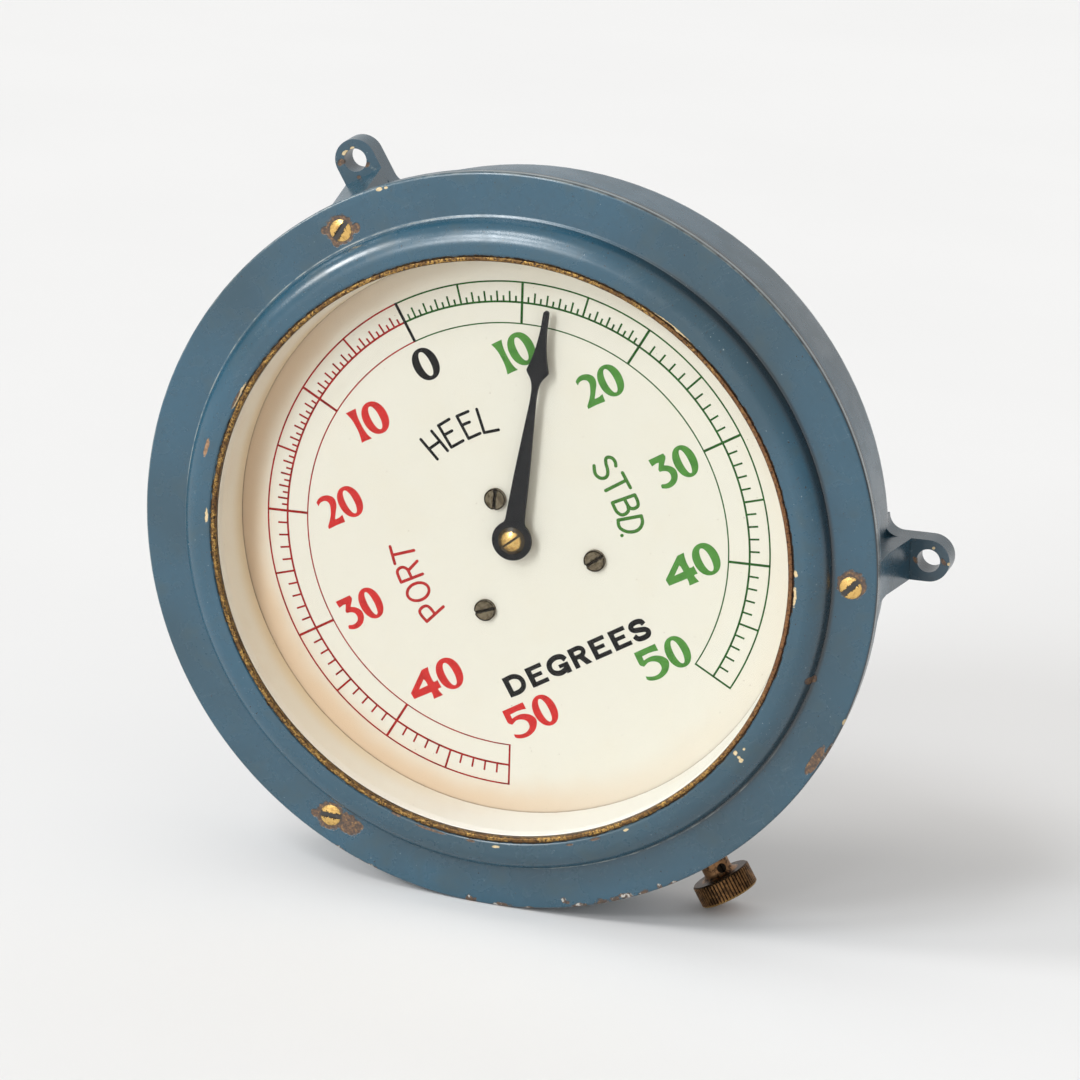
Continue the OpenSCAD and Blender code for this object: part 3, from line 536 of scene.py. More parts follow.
# each finish: what draws it, then its tones and numbers
recipes = {
    "casePaint": (paintWork, caseWear),
    "bezelPaint": (paintWork, bezelWear, bareLip),
    "screwBrass": (brassWork, (0.78, 0.50, 0.17), (0.34, 0.18, 0.055), 0.18, (-43.18, -42.95),
                   bezelSlots),
    "pointerBrass": (brassWork, (0.76, 0.48, 0.17), (0.40, 0.21, 0.07), 0.20, (-36.35, -36.05)),
    "movementBrass": (brassWork, (0.66, 0.45, 0.16), (0.46, 0.30, 0.10)),
    "bushBronze": (brassWork, (0.52, 0.31, 0.13), (0.36, 0.20, 0.08)),
    "setScrewSteel": (steelWork, (0.030, 0.022, 0.016), (0.012, 0.009, 0.007), 0.5),
    "movementSteel": (steelWork, (0.42, 0.42, 0.41), (0.26, 0.26, 0.26)),
    "dialScrewSteel": (steelWork, (0.20, 0.160, 0.105), (0.075, 0.054, 0.033), 0.30, dialSlots),
    "dialEnamel": (dialEnamel,),
    "ringEnamel": (ringEnamel,),
    "windowGlass": (windowGlass,),
    "sealRubber": (softMatt, (0.018, 0.018, 0.018), (0.045, 0.043, 0.040)),
    "brakeLeather": (softMatt, (0.16, 0.085, 0.04), (0.24, 0.14, 0.07)),
    "pointerBlack": (softMatt, (0.008, 0.0075, 0.009), (0.018, 0.016, 0.017), 0.34, 0.22),
    "knobBronze": (knobBronze,),
    "redInk": (inkWork, (0.60, 0.030, 0.028), (0.48, 0.024, 0.022)),
    "redLine": (inkWork, (0.36, 0.016, 0.014), (0.20, 0.010, 0.009)),
    "greenInk": (inkWork, (0.085, 0.255, 0.048), (0.062, 0.20, 0.036)),
    "greenLine": (inkWork, (0.022, 0.105, 0.016), (0.014, 0.060, 0.010)),
    "redWordInk": (inkWork, (0.46, 0.026, 0.024), (0.36, 0.020, 0.019)),
    "greenWordInk": (inkWork, (0.064, 0.190, 0.034), (0.048, 0.150, 0.028)),
    "blackInk": (inkWork, (0.009, 0.008, 0.008), (0.020, 0.018, 0.017)),
}
finishes = {name: work(name, *rest) for name, (work, *rest) in recipes.items()}
print("finishes drawn:", len(finishes))


# any part of a circle: centre plus radius times (cos a, sin a)
def arcRun(centre, radius, start, end, count):
    a = np.radians(np.linspace(start, end, count))
    return np.column_stack([centre[0] + radius * np.cos(a), centre[1] + radius * np.sin(a)])


# corner numbers of a grid that closes on itself both ways
def ringFaces(rows, columns):
    i, j = np.meshgrid(np.arange(rows), np.arange(columns), indexing="ij")
    here, there = i * columns, (i + 1) % rows * columns
    after = (j + 1) % columns
    return np.stack([here + j, here + after, there + after, there + j], axis=-1).reshape(-1, 4)


def addPiece(name, points, faces, finishName, body, stands=()):
    mesh = bpy.data.meshes.new(name)
    mesh.from_pydata((np.asarray(points) * mm).tolist(), [], [list(map(int, f)) for f in faces])
    mesh.validate()
    mesh.update()
    return addObject(name, mesh, finishName, body, stands)


def addObject(name, mesh, finishName, body, stands=(), smooth=30.0):
    mesh.materials.clear()
    mesh.materials.append(finishes[finishName])
    mesh.shade_smooth()
    mesh.set_sharp_from_angle(angle=math.radians(smooth))
    piece = newObject(name, mesh)
    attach(piece, body)
    if stands:
        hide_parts(*stands)
    return piece


# a narrow bevel of `width` mm along every edge sharper than `angle` degrees
def softenEdges(piece, width, steps, angle):
    soft = piece.modifiers.new("softEdges", "BEVEL")
    soft.width = width * mm
    soft.segments = steps
    soft.limit_method = "ANGLE"
    soft.angle_limit = math.radians(angle)
    soft.harden_normals = True
    return soft


# a profile (radius, height) carried round the dial's axis: (r sin t, -h, r cos t)
def revolve(profile, steps):
    t = np.linspace(0.0, 2.0 * np.pi, steps, endpoint=False)
    r, h = profile[:, 0], profile[:, 1]
    x = r[None, :] * np.sin(t)[:, None]
    y = -np.broadcast_to(h, x.shape)
    z = r[None, :] * np.cos(t)[:, None]
    return np.stack([x, y, z], axis=-1).reshape(-1, 3)


# a turned piece on the case, its faces set outwards
def addTurned(name, points, steps, finishName, stands=()):
    faces = ringFaces(steps, len(points) // steps)
    piece = addPiece(name, points, faces, finishName, "case", stands)
    form = bmesh.new()
    form.from_mesh(piece.data)
    bmesh.ops.recalc_face_normals(form, faces=form.faces)
    form.to_mesh(piece.data)
    form.free()


bezel = {
    "outer": 115.0, "under": 40.5, "flange": 43.3, "plinth": 43.6, "roundCentre": 94.4, "round": 7.0,
    "opening": 89.7, "bore": 94.0, "lipUnder": 48.8, "front": 50.75, "steps": 400,
    "lipEnds": 91.3, "lipFrom": 49.6,
    "ripples": (37, 61, 83, 109, 151, 199), "rippleDeep": 0.14, "rippleWide": 0.03,
}


# the bezel's outline, radius and height: rim, flange, plinth, quarter-round moulding, groove, lip, bore
def bezelProfile(b):
    outer, under, flange, plinth = b["outer"], b["under"], b["flange"], b["plinth"]
    opening, bore, lipUnder = b["opening"], b["bore"], b["lipUnder"]
    top = plinth + b["round"]
    return np.vstack([
        arcRun((outer - 0.3, under + 0.3), 0.3, -90, 0, 4),
        arcRun((outer - 0.8, flange - 0.8), 0.8, 0, 90, 9),
        [(112.0, flange), (109.0, flange), (105.0, flange), (102.4, flange)],
        [(102.05, flange + 0.03), (101.85, flange + 0.16), (101.6, plinth - 0.02)],
        arcRun((b["roundCentre"], plinth), b["round"], 0, 90, 40),
        [(93.4, top), (92.4, top), (91.85, top - 0.02), (91.68, top - 0.12), (91.6, top - 0.33)],
        [(91.2, top - 0.35), (91.1, top - 0.1), (91.0, top + 0.08), (90.85, top + 0.15), (90.45, top + 0.15)],
        arcRun((opening + 0.55, top - 0.42), 0.55, 90, 180, 8),
        [(opening, lipUnder + 0.1), (opening + 0.1, lipUnder)],
        [(bore - 0.1, lipUnder), (bore, lipUnder - 0.1), (bore, under + 0.1)],
        [(bore + 0.1, under)],
    ])


# the profile turned, its lip rippled by a sum of sines of the way round that grows inwards
def makeBezel(b):
    points = revolve(bezelProfile(b), b["steps"])
    t = np.arctan2(points[:, 0], points[:, 2])
    r = np.hypot(points[:, 0], points[:, 2])
    onLip = np.clip((b["lipEnds"] - r) / 0.6, 0, 1) * (points[:, 1] < -b["lipFrom"])
    ripple = onLip * sum(np.sin(t * n + n * n) / n ** 0.5 for n in b["ripples"])
    points[:, 0] += np.sin(t) * ripple * b["rippleWide"]
    points[:, 1] = np.maximum(points[:, 1] + ripple * b["rippleDeep"], -b["front"])
    points[:, 2] += np.cos(t) * ripple * b["rippleWide"]
    addTurned("bezelRing", points, b["steps"], "bezelPaint", ["bezel"])


makeBezel(bezel)

# the white collar round the edge of the glass, from the ring up to the lip
collar = {"low": 45.15, "high": 48.7, "inside": (89.40, 89.55), "thick": 0.12, "steps": 256}


# a thin cone: its inside radius runs evenly from the low one to the high one
def makeCollar(c):
    low, high = c["inside"]
    foot, top, thick = c["low"], c["high"], c["thick"]
    profile = np.array([(low, foot), (low + thick, foot), (high + thick, top), (high, top)])
    addTurned("glassCollar", revolve(profile, c["steps"]), c["steps"], "ringEnamel")


makeCollar(collar)
print("bezel made")

# nodes whose own shape is kept and softened: new name, bevel in mm, finish, body, slot and bevel steps
softCopies = {
    "case_body": ("caseCasting", 0.55, "casePaint", "case", "case_paint", 3),
    "bezel_screws": ("bezelScrewSet", 0.10, "screwBrass", "case", "screw_brass", 2),
    "dial_screws": ("dialScrewSet", 0.18, "dialScrewSteel", "case", "dial_screw_steel", 2),
    "pointer_screw": ("pointerScrewHead", 0.10, "pointerBrass", "pointer_train", "screw_brass", 2),
    "lock_knob": ("lockKnobTurned", 0.07, "knobBronze", "lock", "knob_bronze", 1),
}


# a copy of the node's mesh: doubles merged, flat parts joined, then bevelled
def softCopy(node, name, width, finishName, body, slotName, steps, angle=28.0):
    form = bmesh.new()
    form.from_mesh(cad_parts[node].data)
    bmesh.ops.remove_doubles(form, verts=form.verts, dist=2e-6)
    bmesh.ops.dissolve_limit(form, angle_limit=math.radians(0.3), verts=form.verts, edges=form.edges)
    mesh = bpy.data.meshes.new(name)
    form.to_mesh(mesh)
    form.free()
    if "custom_normal" in mesh.attributes:
        mesh.attributes.remove(mesh.attributes["custom_normal"])
    piece = addObject(name, mesh, finishName, body, [node], angle)
    softenEdges(piece, width, steps, angle).miter_outer = "MITER_ARC"


for node, spec in softCopies.items():
    softCopy(node, *spec)
print("softened copies made")

# nodes that keep their own mesh, by finish
plainDress = {
    "sealRubber": ("bezel_gasket", "glass_seal", "bush_washer"),
    "brakeLeather": ("brake_pad",),
    "windowGlass": ("glass",),
    "ringEnamel": ("reflector_ring",),
    "dialEnamel": ("dial_plate",),
    "movementBrass": ("glass_retainer", "dial_posts", "front_plate", "back_plate", "pillars",
                      "pendulum_collar", "pendulum_hub", "sector_gear", "bob", "pointer_boss", "brake_shoe"),
    "movementSteel": ("pillar_screws", "foot_screws", "stop_pins", "pendulum_arbor", "pendulum_rod",
                      "bob_screws", "pointer_arbor", "pinion", "lock_spindle"),
    "bushBronze": ("front_bushes", "back_bushes", "hub_rivets", "lock_bush"),
    "setScrewSteel": ("knob_set_screw",),
}
for finishName, nodes in plainDress.items():
    for node in nodes:
        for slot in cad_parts[node].material_slots:
            slot.material = finishes[finishName]
print("nodes dressed:", sum(len(nodes) for nodes in plainDress.values()))

# the dial's printing: radii, line widths and mark lengths in mm
dial = {
    "front": 31.5, "sunk": 0.01, "outer": 79.4, "ticks": 73.16, "inner": 66.65,
    "turnPerDegree": 3.0, "last": 50, "arcs": (("outer", 0.50), ("ticks", 0.62), ("inner", 0.40)),
    "half": 1.9, "whole": 3.3, "wholeAbove20": 3.1, "fineWidth": 0.58, "fiveWidth": 0.64, "tenWidth": 0.78,
}


# an arc's band between two radii, from one clockwise turn to another
def arcBand(radius, width, start, end):
    a = np.radians(np.linspace(start, end, max(4, int(abs(end - start)) + 1)))
    way = np.column_stack([np.sin(a), np.cos(a)])
    return [np.vstack([(radius + width / 2) * way, ((radius - width / 2) * way)[::-1]])]


# a straight mark along a radius: four corners
def radialMark(turn, inner, outer, width):
    a = math.radians(turn)
    along = np.array([math.sin(a), math.cos(a)])
    aside = np.array([math.cos(a), -math.sin(a)]) * width / 2
    low, high = along * inner, along * outer
    return [np.array([low - aside, high - aside, high + aside, low + aside])]


# a rounded oval: (a |cos|^p, b |sin|^p) with the signs kept
def oval(x0, x1, y0, y1, power=0.94, count=44):
    t = np.linspace(0.0, 2.0 * np.pi, count, endpoint=False)
    c, s = np.cos(t), np.sin(t)
    x = (x0 + x1) / 2 + (x1 - x0) / 2 * np.sign(c) * np.abs(c) ** power
    y = (y0 + y1) / 2 + (y1 - y0) / 2 * np.sign(s) * np.abs(s) ** power
    return np.column_stack([x, y])


def disc(x, y, radius, count):
    return oval(x - radius, x + radius, y - radius, y + radius, 1.0, count)


# smooth curve through the points: Catmull-Rom, each stretch a cubic of its four neighbours
def smoothRun(points, steps=7):
    p = np.asarray(points, float)
    q = np.vstack([2 * p[0] - p[1], p, 2 * p[-1] - p[-2]])
    t = np.linspace(0.0, 1.0, steps, endpoint=False)[:, None]
    runs = []
    for a, b, c, d in zip(q[:-3], q[1:-2], q[2:-1], q[3:]):
        square, cube = (2 * a - 5 * b + 4 * c - d) * t ** 2, (3 * b - a - 3 * c + d) * t ** 3
        runs.append(0.5 * (2 * b + (c - a) * t + square + cube))
    return np.vstack(runs + [p[-1:]])


# a pen stroke through the points: one quad for each stretch
def penBody(p, width):
    way = np.diff(p, axis=0)
    way /= np.linalg.norm(way, axis=1)[:, None]
    mean = np.vstack([way[:1], way[:-1] + way[1:], way[-1:]])
    mean /= np.linalg.norm(mean, axis=1)[:, None]
    side = np.column_stack([-mean[:, 1], mean[:, 0]]) * width / 2
    left, right = p + side, p - side
    return [[np.array([left[i], left[i + 1], right[i + 1], right[i]])] for i in range(len(p) - 1)]


# each shape is a list of loops; a point is inked where it is inside an odd number of a shape's loops
def inside(points, shape):
    odd = np.zeros(len(points), bool)
    for loop in shape:
        x0, y0 = loop[:, 0], loop[:, 1]
        x1, y1 = np.roll(x0, -1), np.roll(y0, -1)
        px, py = points[:, :1], points[:, 1:]
        spans = (y0 > py) != (y1 > py)
        rise = np.where(y1 == y0, 1.0, y1 - y0)
        crosses = spans & (px < (x1 - x0) * (py - y0) / rise + x0)
        odd ^= crosses.sum(axis=1) % 2 == 1
    return odd


# the triangles inside the shapes, all turned the same way, and their corners
def filled(shapes):
    corners, edges = [], []
    for shape in shapes:
        for loop in shape:
            first = len(corners)
            corners.extend(Vector(c) for c in loop.tolist())
            edges.extend((first + i, first + (i + 1) % len(loop)) for i in range(len(loop)))
    found = delaunay_2d_cdt(corners, edges, [], 0, 1e-5)
    flat = np.array([tuple(v) for v in found[0]])
    tri = np.array([f for f in found[2] if len(f) == 3])
    middle = flat[tri].mean(axis=1)
    keep = np.zeros(len(tri), bool)
    for shape in shapes:
        loops = np.vstack(shape)
        near = (middle >= loops.min(axis=0)).all(axis=1) & (middle <= loops.max(axis=0)).all(axis=1)
        near = np.flatnonzero(~keep & near)
        keep[near] |= inside(middle[near], shape)
    tri = tri[keep]
    a, b, c = flat[tri[:, 0]], flat[tri[:, 1]], flat[tri[:, 2]]
    area = (b[:, 0] - a[:, 0]) * (c[:, 1] - a[:, 1]) - (b[:, 1] - a[:, 1]) * (c[:, 0] - a[:, 0])
    tri[area < 0] = tri[area < 0][:, ::-1]
    return flat, tri


# a flat closed piece between two heights: triangles in front and behind, walls along the outline
def flatPiece(name, shapes, finishName, body, front, back, stands=()):
    flat, tri = filled(shapes)
    ways = np.concatenate([tri[:, [0, 1]], tri[:, [1, 2]], tri[:, [2, 0]]])
    _, where, count = np.unique(np.sort(ways, axis=1), axis=0, return_inverse=True, return_counts=True)
    rim = ways[count[where.ravel()] == 1]
    n = len(flat)
    top = np.column_stack([flat[:, 0], np.full(n, -front), flat[:, 1]])
    base = np.column_stack([flat[:, 0], np.full(n, -back), flat[:, 1]])
    walls = np.column_stack([rim[:, 1], rim[:, 0], rim[:, 0] + n, rim[:, 1] + n])
    used = np.unique(np.concatenate([tri.ravel(), tri.ravel() + n]))
    renumber = np.full(2 * n, -1)
    renumber[used] = np.arange(len(used))
    faces = [renumber[f].tolist() for group in (tri, tri[:, ::-1] + n, walls) for f in group]
    return addPiece(name, np.vstack([top, base])[used], faces, finishName, body, stands)


# a layer of ink standing `lift` mm off the dial, its underside just inside the enamel
def inkLayer(name, shapes, finishName, lift=0.034):
    front = dial["front"]
    flatPiece(name, shapes, finishName, "case", front + lift, front - dial["sunk"])


# arcs and marks of one side: whole and half degrees to 20, whole degrees to 50
def sideScale(side):
    turn, last, ticks = dial["turnPerDegree"] * side, dial["last"], dial["ticks"]
    shapes = [arcBand(dial[arc], width, 0, last * turn) for arc, width in dial["arcs"]]
    for half in range(1, 41):
        if half % 10:
            long = dial["half"] if half % 2 else dial["whole"]
            shapes.append(radialMark(half / 2 * turn, ticks, ticks + long, dial["fineWidth"]))
    for degree in range(21, last):
        if degree % 5:
            shapes.append(radialMark(degree * turn, ticks, ticks + dial["wholeAbove20"], dial["fineWidth"]))
    for degree in range(5, last, 5):
        inner, width = (ticks, dial["fiveWidth"]) if degree % 10 else (dial["inner"], dial["tenWidth"])
        shapes.append(radialMark(degree * turn, inner, dial["outer"], width))
    shapes.append(radialMark(last * turn, dial["inner"] - 0.19, dial["outer"] + 0.25, 0.6))
    return shapes


# figures, drawn as outlines: "c" runs are smoothed, "l" runs are straight
figures = {
    "1": [
        [("l", 3.65, 10.9, 7.2, 10.95),
         ("c", 7.2, 10.95, 6.75, 9.6, 6.45, 7.6, 6.4, 5.6, 6.5, 3.8, 6.85, 2, 7.45, 0.7),
         ("l", 5.6, 0.85, 3.95, 0.8),
         ("c", 3.95, 0.8, 4.35, 2.4, 4.6, 4.4, 4.6, 6.4, 4.5, 8.2, 4.1, 9.8, 3.65, 10.9)],
    ],
    "2": [
        [("l", 2.85, 9.05),
         ("c", 2.75, 10.25, 3.9, 11, 5.4, 11.25, 7.1, 10.8, 8.3, 9.7, 8.6, 8.4, 8.15, 6.9, 7.1, 5.4, 5.6,
           3.25),
         ("l", 6, 3.05, 7.2, 3.1, 8.5, 3.5, 8.25, 1.25, 5.4, 1.4, 2.4, 1.3),
         ("c", 2.5, 2.05, 4, 3.6, 5.3, 5.3, 6.2, 7.2, 6.4, 8.3, 6.1, 9.2, 5.3, 9.75, 4.2, 9.8, 3.4, 9.55,
           2.85, 9.05)],
    ],
    "3": [
        [("l", 2.6, 8.15, 2.45, 10.25, 7.55, 10.3, 7.8, 9.3, 7.5, 8.7, 6.1, 7.05),
         ("c", 6.1, 6.9, 7.4, 6.2, 8.5, 5, 8.8, 3.7, 8.3, 2.1, 7, 0.75, 5.2, 0.15, 3.6, 0.3, 2.25, 0.95),
         ("l", 2.4, 1.75),
         ("c", 2.8, 1.95, 3.8, 1.6, 5, 1.65, 6.1, 2.2, 6.65, 3.2, 6.6, 4.3, 6, 5.1, 5, 5.55, 4, 5.75),
         ("l", 3.95, 6.4, 5.1, 8.35, 4.2, 8.5)],
    ],
    "4": [
        [("l", 0.3, 3.5, 0.15, 5.5, 5.9, 9.9, 7, 10.75),
         ("c", 9.2, 10.85, 8.85, 9.6, 8.6, 8, 8.6, 6.4, 8.7, 5.85),
         ("l", 9.5, 5.75, 10.1, 6, 10.15, 3.4, 9.3, 3.5, 8.85, 3.35, 8.95, 2.4, 9.4, 1.05, 6.2, 1.05, 6.5,
           2.2, 6.5, 3.35)],
        [("l", 3.15, 5.6, 6.1, 7.95, 6.4, 7.4, 6.5, 6.4, 6.45, 5.6)],
    ],
    "5": [
        [("l", 2.7, 11, 10.1, 11.05, 10.1, 8.85, 8.8, 9.15, 7, 9.3, 4.5, 9.15),
         ("c", 4.45, 7.65, 5.8, 7.9, 7.6, 7.9, 9.2, 7.4, 10.6, 6.4, 11.5, 4.75, 10.9, 3.1, 9.6, 1.75, 7.9,
           1, 6.2, 0.75, 4.4, 1, 3.2, 1.5, 2.6, 2.1),
         ("c", 2.65, 3, 3.6, 2.5, 5, 2.05, 6.5, 2.05, 7.8, 2.6, 8.6, 3.5, 8.7, 4.8, 8.1, 5.8, 6.9, 6.5,
           5.6, 6.75, 4.6, 6.45, 3.6, 6.05),
         ("l", 2.8, 6.75, 2.6, 7.3)],
    ],
}
# for each figure in turn its nought, outer and inner oval, and where the number's middle is
noughts = (
    ((7.6, 15.7, 0.8, 11.1), (10.1, 13.1, 2.0, 9.8)),
    ((9.1, 16.6, 1.2, 11.2), (11.3, 14.2, 2.2, 10.1)),
    ((9.2, 16.3, 0.4, 10.5), (11.6, 13.9, 1.4, 9.3)),
    ((10.7, 18.8, 1.2, 11.4), (13.2, 16.2, 2.2, 10.0)),
    ((11.8, 19.3, 1.0, 11.1), (14.1, 16.9, 2.1, 10.0)),
)
numberPlaces = {
    -1: ((-25.7, 51.0), (-47.2, 30.8), (-56.6, 0.5), (-45.0, -30.2), (-23.1, -52.3)),
    1: ((27.0, 51.0), (46.6, 30.8), (56.2, 0.2), (47.0, -30.2), (24.4, -52.2)),
}


# each outline moved outwards by so much, holes inwards
def grown(shapes, by):
    def unit(ways):
        return ways / np.maximum(np.linalg.norm(ways, axis=1), 1e-9)[:, None]

    fuller = []
    for shape in shapes:
        loops = []
        for number, loop in enumerate(shape):
            after = np.roll(loop, -1, axis=0)
            way = unit(unit(loop - np.roll(loop, 1, axis=0)) + unit(after - loop))
            area = (loop[:, 0] * after[:, 1] - after[:, 0] * loop[:, 1]).sum()
            sign = 1.0 if (area > 0) == (number == 0) else -1.0
            loops.append(loop + np.column_stack([way[:, 1], -way[:, 0]]) * by * sign)
        fuller.append(loops)
    return fuller


def sideNumbers(side):
    shapes = []
    for figure, nought, (x, z) in zip(figures, noughts, numberPlaces[side]):
        corner = np.array([x - (10.0 if figure in "45" else 9.0), z - 6.0])
        outlines = []
        for loop in figures[figure]:
            runs = [(kind, np.reshape(numbers, (-1, 2))) for kind, *numbers in loop]
            runs = [smoothRun(points) if kind == "c" else points for kind, points in runs]
            outlines.append(np.vstack(runs) + corner)
        shapes += [outlines, [oval(*box) + corner for box in nought]]
    return shapes


# letters as pen strokes with round ends, each a run of across and along; over two points make a curve
def word(strokes, width, ways, corner):
    shapes = []
    for stroke in strokes:
        p = np.reshape(stroke, (-1, 2)) @ np.transpose(ways) + corner
        if len(p) > 2:
            p = smoothRun(p, 5)
        shapes += penBody(p, width) + [[disc(*end, width / 2, 12)] for end in (p[0], p[-1])]
    return shapes


upright = ((1.0, 0.0), (0.0, 1.0))
sideways = ((0.0, 1.0), (1.0, 0.0))
heelStrokes = [
    (2, 10.1, 3.9, 2.5), (6.4, 11, 8.15, 3.55), (3.1, 6.4, 7.2, 7.1), (9.25, 11.65, 9.75, 4.05),
    (9.2, 11.6, 13.3, 12), (9.6, 8.3, 12.4, 8.45), (9.75, 4, 14.2, 4.3), (16, 11.8, 16.1, 4.15),
    (16, 11.8, 20, 11.7), (16.1, 8.7, 18.8, 8.6), (16.1, 4.2, 20.2, 4.15), (22.8, 11.2, 21.5, 3.8),
    (21.5, 3.8, 26.1, 2.75),
]
portStrokes = [
    (2.6, 4, 4.7, 11.2), (2.6, 4, 5.3, 3.3, 6.6, 3.6, 7.2, 5, 7, 6.4, 5.9, 7.1, 4, 7.5),
    (16.9, 2.5, 16.5, 10.1), (16.9, 2.4, 19.9, 2.7, 20.9, 3.6, 21, 5, 20.2, 6, 19.2, 6.3, 17, 6.2),
    (19.3, 6.4, 20.8, 10.4), (22.9, 3.4, 28.3, 4.6), (25.6, 4.1, 24.2, 11.1),
    oval(9.42, 14.78, 2.28, 9.72, 1.0, 25)[[*range(25), 0]],
]
starboardStrokes = [
    (24, 8.5, 25.2, 8.9, 26.6, 8.6, 27.4, 7.5, 27.1, 6.6, 25.8, 6, 24, 5.6, 22.6, 4.8, 22.1, 3.6, 22.7,
     2.2, 24.1, 1.5, 25.4, 1.7, 26.8, 2.3),
    (21.3, 9.4, 16.2, 9.5), (18.8, 9.4, 18.5, 2), (13.7, 9.7, 14.3, 2.1),
    (13.7, 9.7, 11.6, 9.6, 10.3, 9, 10, 7.8, 10.4, 6.7, 11.5, 6.2, 14, 6.1),
    (11.5, 6.1, 10.2, 5.6, 9.6, 4.2, 9.9, 2.9, 11.2, 2.1, 12.5, 2, 14.3, 2.1), (7.1, 8.5, 8.8, 1.2),
    (7.1, 8.5, 5.2, 7.9, 3.9, 6.4, 3.6, 4.5, 4.3, 2.4, 5.8, 0.9, 7.2, 0.6, 8.8, 1.2), (4.05, 0, 4.1, 0.1),
]
# the black word's letters: straight bars (left, right, low, high) and thick curved runs with their widths
degreesBars = [
    (0.4, 2.1, 1.5, 8.0), (8.5, 10.2, 1.5, 7.9), (8.5, 14.1, 6.6, 7.9), (8.5, 13.2, 4.2, 5.4),
    (8.5, 14.3, 1.5, 2.8), (20.7, 22.4, 1.4, 4.7), (19.2, 22.4, 3.7, 4.8), (23.9, 25.5, 1.5, 7.9),
]
degreesRuns = [
    (1.5, (1.5, 7.3, 3.9, 7.3, 5.6, 6.4, 6.25, 4.75, 5.6, 3, 3.9, 2.2, 1.5, 2.2)),
    (1.65, (22.1, 5.6, 21.2, 6.9, 19, 7.3, 16.9, 6.5, 16.2, 4.8, 16.9, 3.1, 19, 2.3, 21.5, 3)),
    (1.4, (24.5, 7.2, 27.6, 7.2, 28.7, 6, 27.6, 4.75, 24.5, 4.7)),
    (1.6, (50.2, 5.8, 49.7, 6.9, 48.2, 7.3, 46.5, 7, 45.9, 6, 46.6, 5.1, 48.4, 4.6, 49.9, 4.1, 50.5, 3.2,
           49.9, 2.25, 48.2, 1.95, 46.5, 2.3, 45.75, 3.5)),
]


def bar(x0, x1, y0, y1):
    return [np.array([(x0, y0), (x1, y0), (x1, y1), (x0, y1)], float)]


def degreesWord():
    runs = [penBody(smoothRun(np.reshape(run, (-1, 2)), 5), width) for width, run in degreesRuns]
    shapes = [bar(*box) for box in degreesBars] + runs[0] + runs[1] + runs[2]
    shapes.append([np.array([(26.2, 4.3), (27.9, 4.7), (29.7, 1.5), (27.7, 1.5)])])
    for start, top, mid, low in ((31.1, 36.6, 35.7, 36.9), (38.3, 43.9, 43.0, 44.1)):
        shapes += [bar(start, start + 1.65, 1.5, 7.9), bar(start, top, 6.6, 7.9)]
        shapes += [bar(start, mid, 4.2, 5.4), bar(start, low, 1.5, 2.8)]
    return [[loop + np.array([-26.0, -46.0]) for loop in shape] for shape in shapes + runs[3]]


# the pointer: half widths along it, from the hub's waist to the tip, and where the blade leaves the hub
blade = {
    "front": 35.8, "back": 34.8, "turn": 37.0, "hub": 6.2, "hole": 1.05, "edge": 0.17,
    "leaves": (3.45, 5.15),
    "halves": [
        (5.3, 3.35), (6.3, 3.02), (8.2, 2.9), (20.0, 2.4), (34.2, 1.57), (43.5, 0.98), (47.0, 0.93),
        (48.8, 1.05), (50.4, 1.42), (51.7, 2.05), (52.8, 2.85), (53.5, 3.27), (54.1, 3.36), (54.8, 3.16),
        (56.4, 2.66), (58.9, 2.04), (62.2, 1.48), (66.5, 1.02), (69.5, 0.93), (72.0, 0.88),
    ],
}


def makePointer(b):
    side = smoothRun(b["halves"], 5)
    end, tip = side[-1]
    leaves = math.degrees(math.atan2(*b["leaves"]))
    cap = arcRun((end, 0.0), tip, 80, -80, 9)
    hub = arcRun((0.0, 0.0), b["hub"], 360 - leaves, leaves, 64)
    outline = np.vstack([side, cap, side[::-1] * (1, -1), hub])
    turn = math.radians(b["turn"])
    along = np.array([math.sin(turn), math.cos(turn)])
    across = np.array([math.cos(turn), -math.sin(turn)])
    placed = outline[:, :1] * along + outline[:, 1:] * across
    piece = flatPiece("pointerBlade", [[placed, disc(0.0, 0.0, b["hole"], 32)]], "pointerBlack",
                      "pointer_train", b["front"], b["back"], ["pointer"])
    softenEdges(piece, b["edge"], 2, 40.0)


makePointer(blade)
zeroOvals = [oval(-4.3, 3.9, 53.95, 64.25), oval(-1.75, 1.35, 55.15, 63.05)]
inkLayer("portScale", sideScale(-1), "redLine", 0.030)
inkLayer("starboardScale", sideScale(1), "greenLine", 0.030)
inkLayer("portFigures", grown(sideNumbers(-1), 0.06), "redInk")
inkLayer("starboardFigures", grown(sideNumbers(1), 0.07), "greenInk")
inkLayer("zeroLine", [radialMark(0, dial["inner"], dial["outer"] + 0.3, 0.9)], "blackInk", 0.045)
inkLayer("zeroFigure", [zeroOvals], "blackInk")
inkLayer("heelWord", word(heelStrokes, 0.93, upright, (-15.0, 29.0)), "blackInk")
inkLayer("portWord", word(portStrokes, 0.95, sideways, (-43.0, -15.0)), "redWordInk")
inkLayer("starboardWord", word(starboardStrokes, 1.06, sideways, (31.0, -17.0)), "greenWordInk")
inkLayer("degreesWord", grown(degreesWord(), 0.05), "blackInk")
print("dial printed")

# the stage: which ways are left, front and up in the photograph; the floor's height and half width in m
stage = {
    "left": (-0.8074, -0.2667, 0.5263),
    "front": (0.2487, -0.9627, -0.1062),
    "up": (0.535, 0.0451, 0.8436),
    "level": -0.1168,
    "reach": 6.0,
    "corners": 96,
    "tone": (0.80, 0.80, 0.805),
}


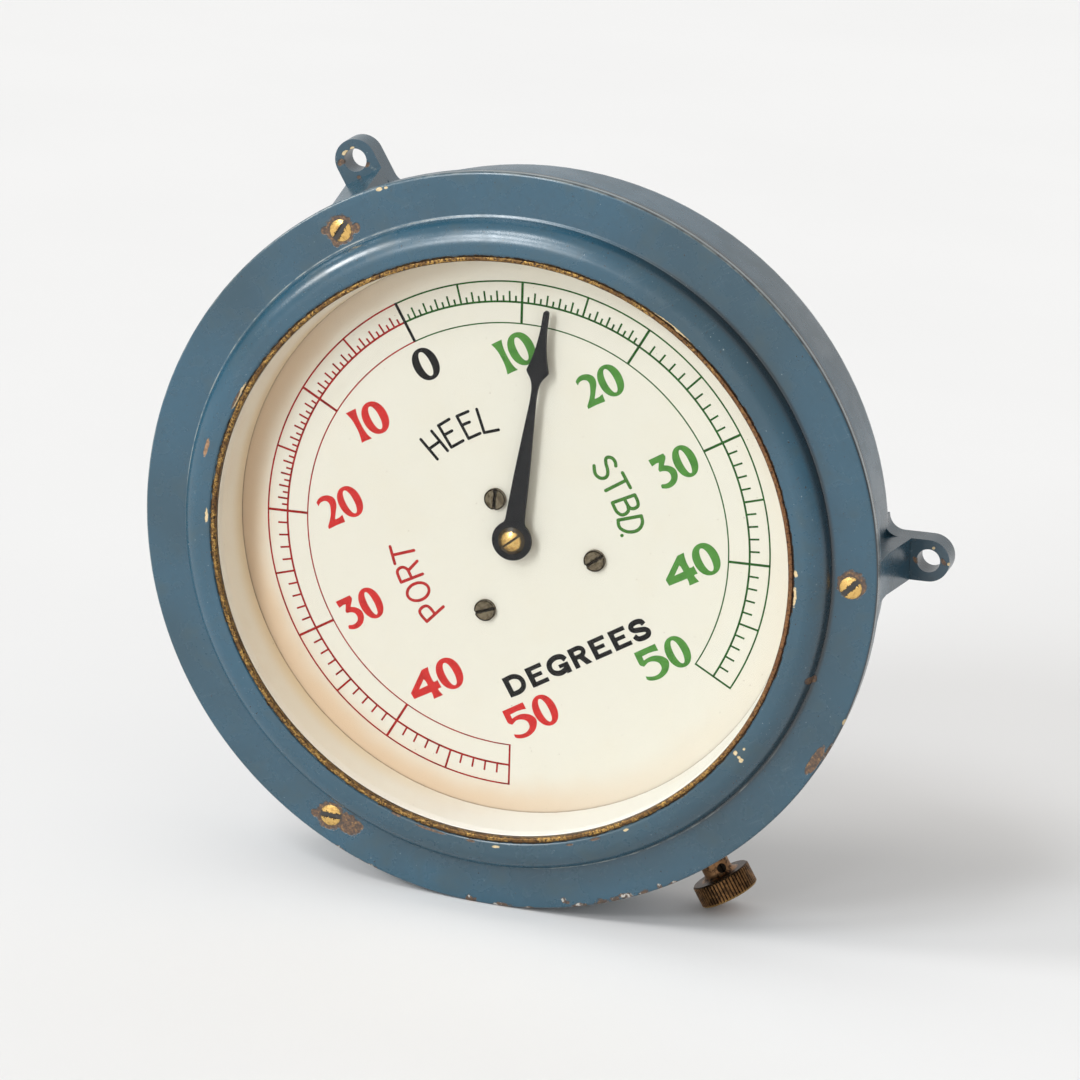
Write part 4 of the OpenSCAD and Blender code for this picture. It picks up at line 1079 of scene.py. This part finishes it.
# a round sheet of pale paper, clear when seen from below
def makeFloor(spec):
    up = Vector(spec["up"]).normalized()
    side = up.orthogonal().normalized() * spec["reach"]
    other = up.cross(side)
    turns = np.linspace(0.0, 2.0 * np.pi, spec["corners"], endpoint=False)
    points = [tuple(up * spec["level"] + side * math.cos(t) + other * math.sin(t)) for t in turns]
    mesh = bpy.data.meshes.new("floor")
    mesh.from_pydata(points, [], [list(range(len(points)))])
    mesh.update()
    floor = newObject("floor", mesh)
    f = Finish("floorPaper")
    shaded = tuple(c * 0.985 for c in spec["tone"])
    f.colour = f.tint(f.fade(f.noise(220.0, 3.0, 0.5), 0.3, 0.7), spec["tone"], shaded)
    f.finish(0.7)
    below = f.add("NewGeometry").outputs["Backfacing"]
    f.blend(below, f.shader, f.add("BsdfTransparent"))
    mesh.materials.append(f.material)


# a direction on the stage: so much to the camera's left, towards it, and up
def stageWay(*parts):
    ways = [Vector(stage[name]) * part for name, part in zip(("left", "front", "up"), parts)]
    return (ways[0] + ways[1] + ways[2]).normalized()


# lamps: stage direction, spread in degrees, power and tone. The three softboxes are one tall one
# to the left of the camera, low, middle and high
lamps = {
    "keySoftbox0": ((0.56, 0.80, 0.20), 13.0, 0.66, (0.93, 0.97, 1.0)),
    "keySoftbox1": ((0.52, 0.68, 0.48), 13.0, 0.86, (0.93, 0.97, 1.0)),
    "keySoftbox2": ((0.42, 0.48, 0.75), 13.0, 0.64, (0.93, 0.97, 1.0)),
    "sideLamp": ((0.86, 0.16, 0.48), 16.0, 1.15, (1.0, 0.99, 0.97)),
}


# a broad lamp, far off: its light comes evenly from a disc of sky
def makeLight(name, way, spread, power, tone):
    towards = stageWay(*way)
    data = bpy.data.lights.new(name, "SUN")
    data.angle = math.radians(spread)
    data.energy = power
    data.color = tone
    light = newObject(name, data)
    light.rotation_mode = "QUATERNION"
    light.rotation_quaternion = towards.to_track_quat("Z", "Y")
    light.location = towards * 2.0


# the room: dim, brighter on the left, in front and above, and a pale backdrop behind, low down.
# A bright side is a stage direction, where its fade starts and ends, and its tone
room = {
    "dim": (0.26, 0.265, 0.27),
    "sides": [((0.45, 0.58, 0.68), -0.55, 0.90, (0.74, 0.715, 0.68)),
              ((-0.25, -0.95, 0.15), 0.35, 0.90, (0.80, 0.80, 0.80))],
}


def makeRoom(spec):
    world = bpy.data.worlds.new("paleRoom")
    world.use_nodes = True
    drawing = Drawing(world.node_tree)
    way = drawing.add("TexCoord").outputs["Generated"]
    tone = spec["dim"]
    for towards, low, high, bright in spec["sides"]:
        dot = drawing.add("VectorMath", {0: way, 1: stageWay(*towards)}, operation="DOT_PRODUCT")
        tone = drawing.tint(drawing.fade(dot.outputs["Value"], low, high), tone, bright)
    drawing.link(drawing.tree.nodes["Background"].inputs[0], tone)
    bpy.context.scene.world = world


makeFloor(stage)
for name, spec in lamps.items():
    makeLight(name, *spec)
makeRoom(room)
print("stage lit")
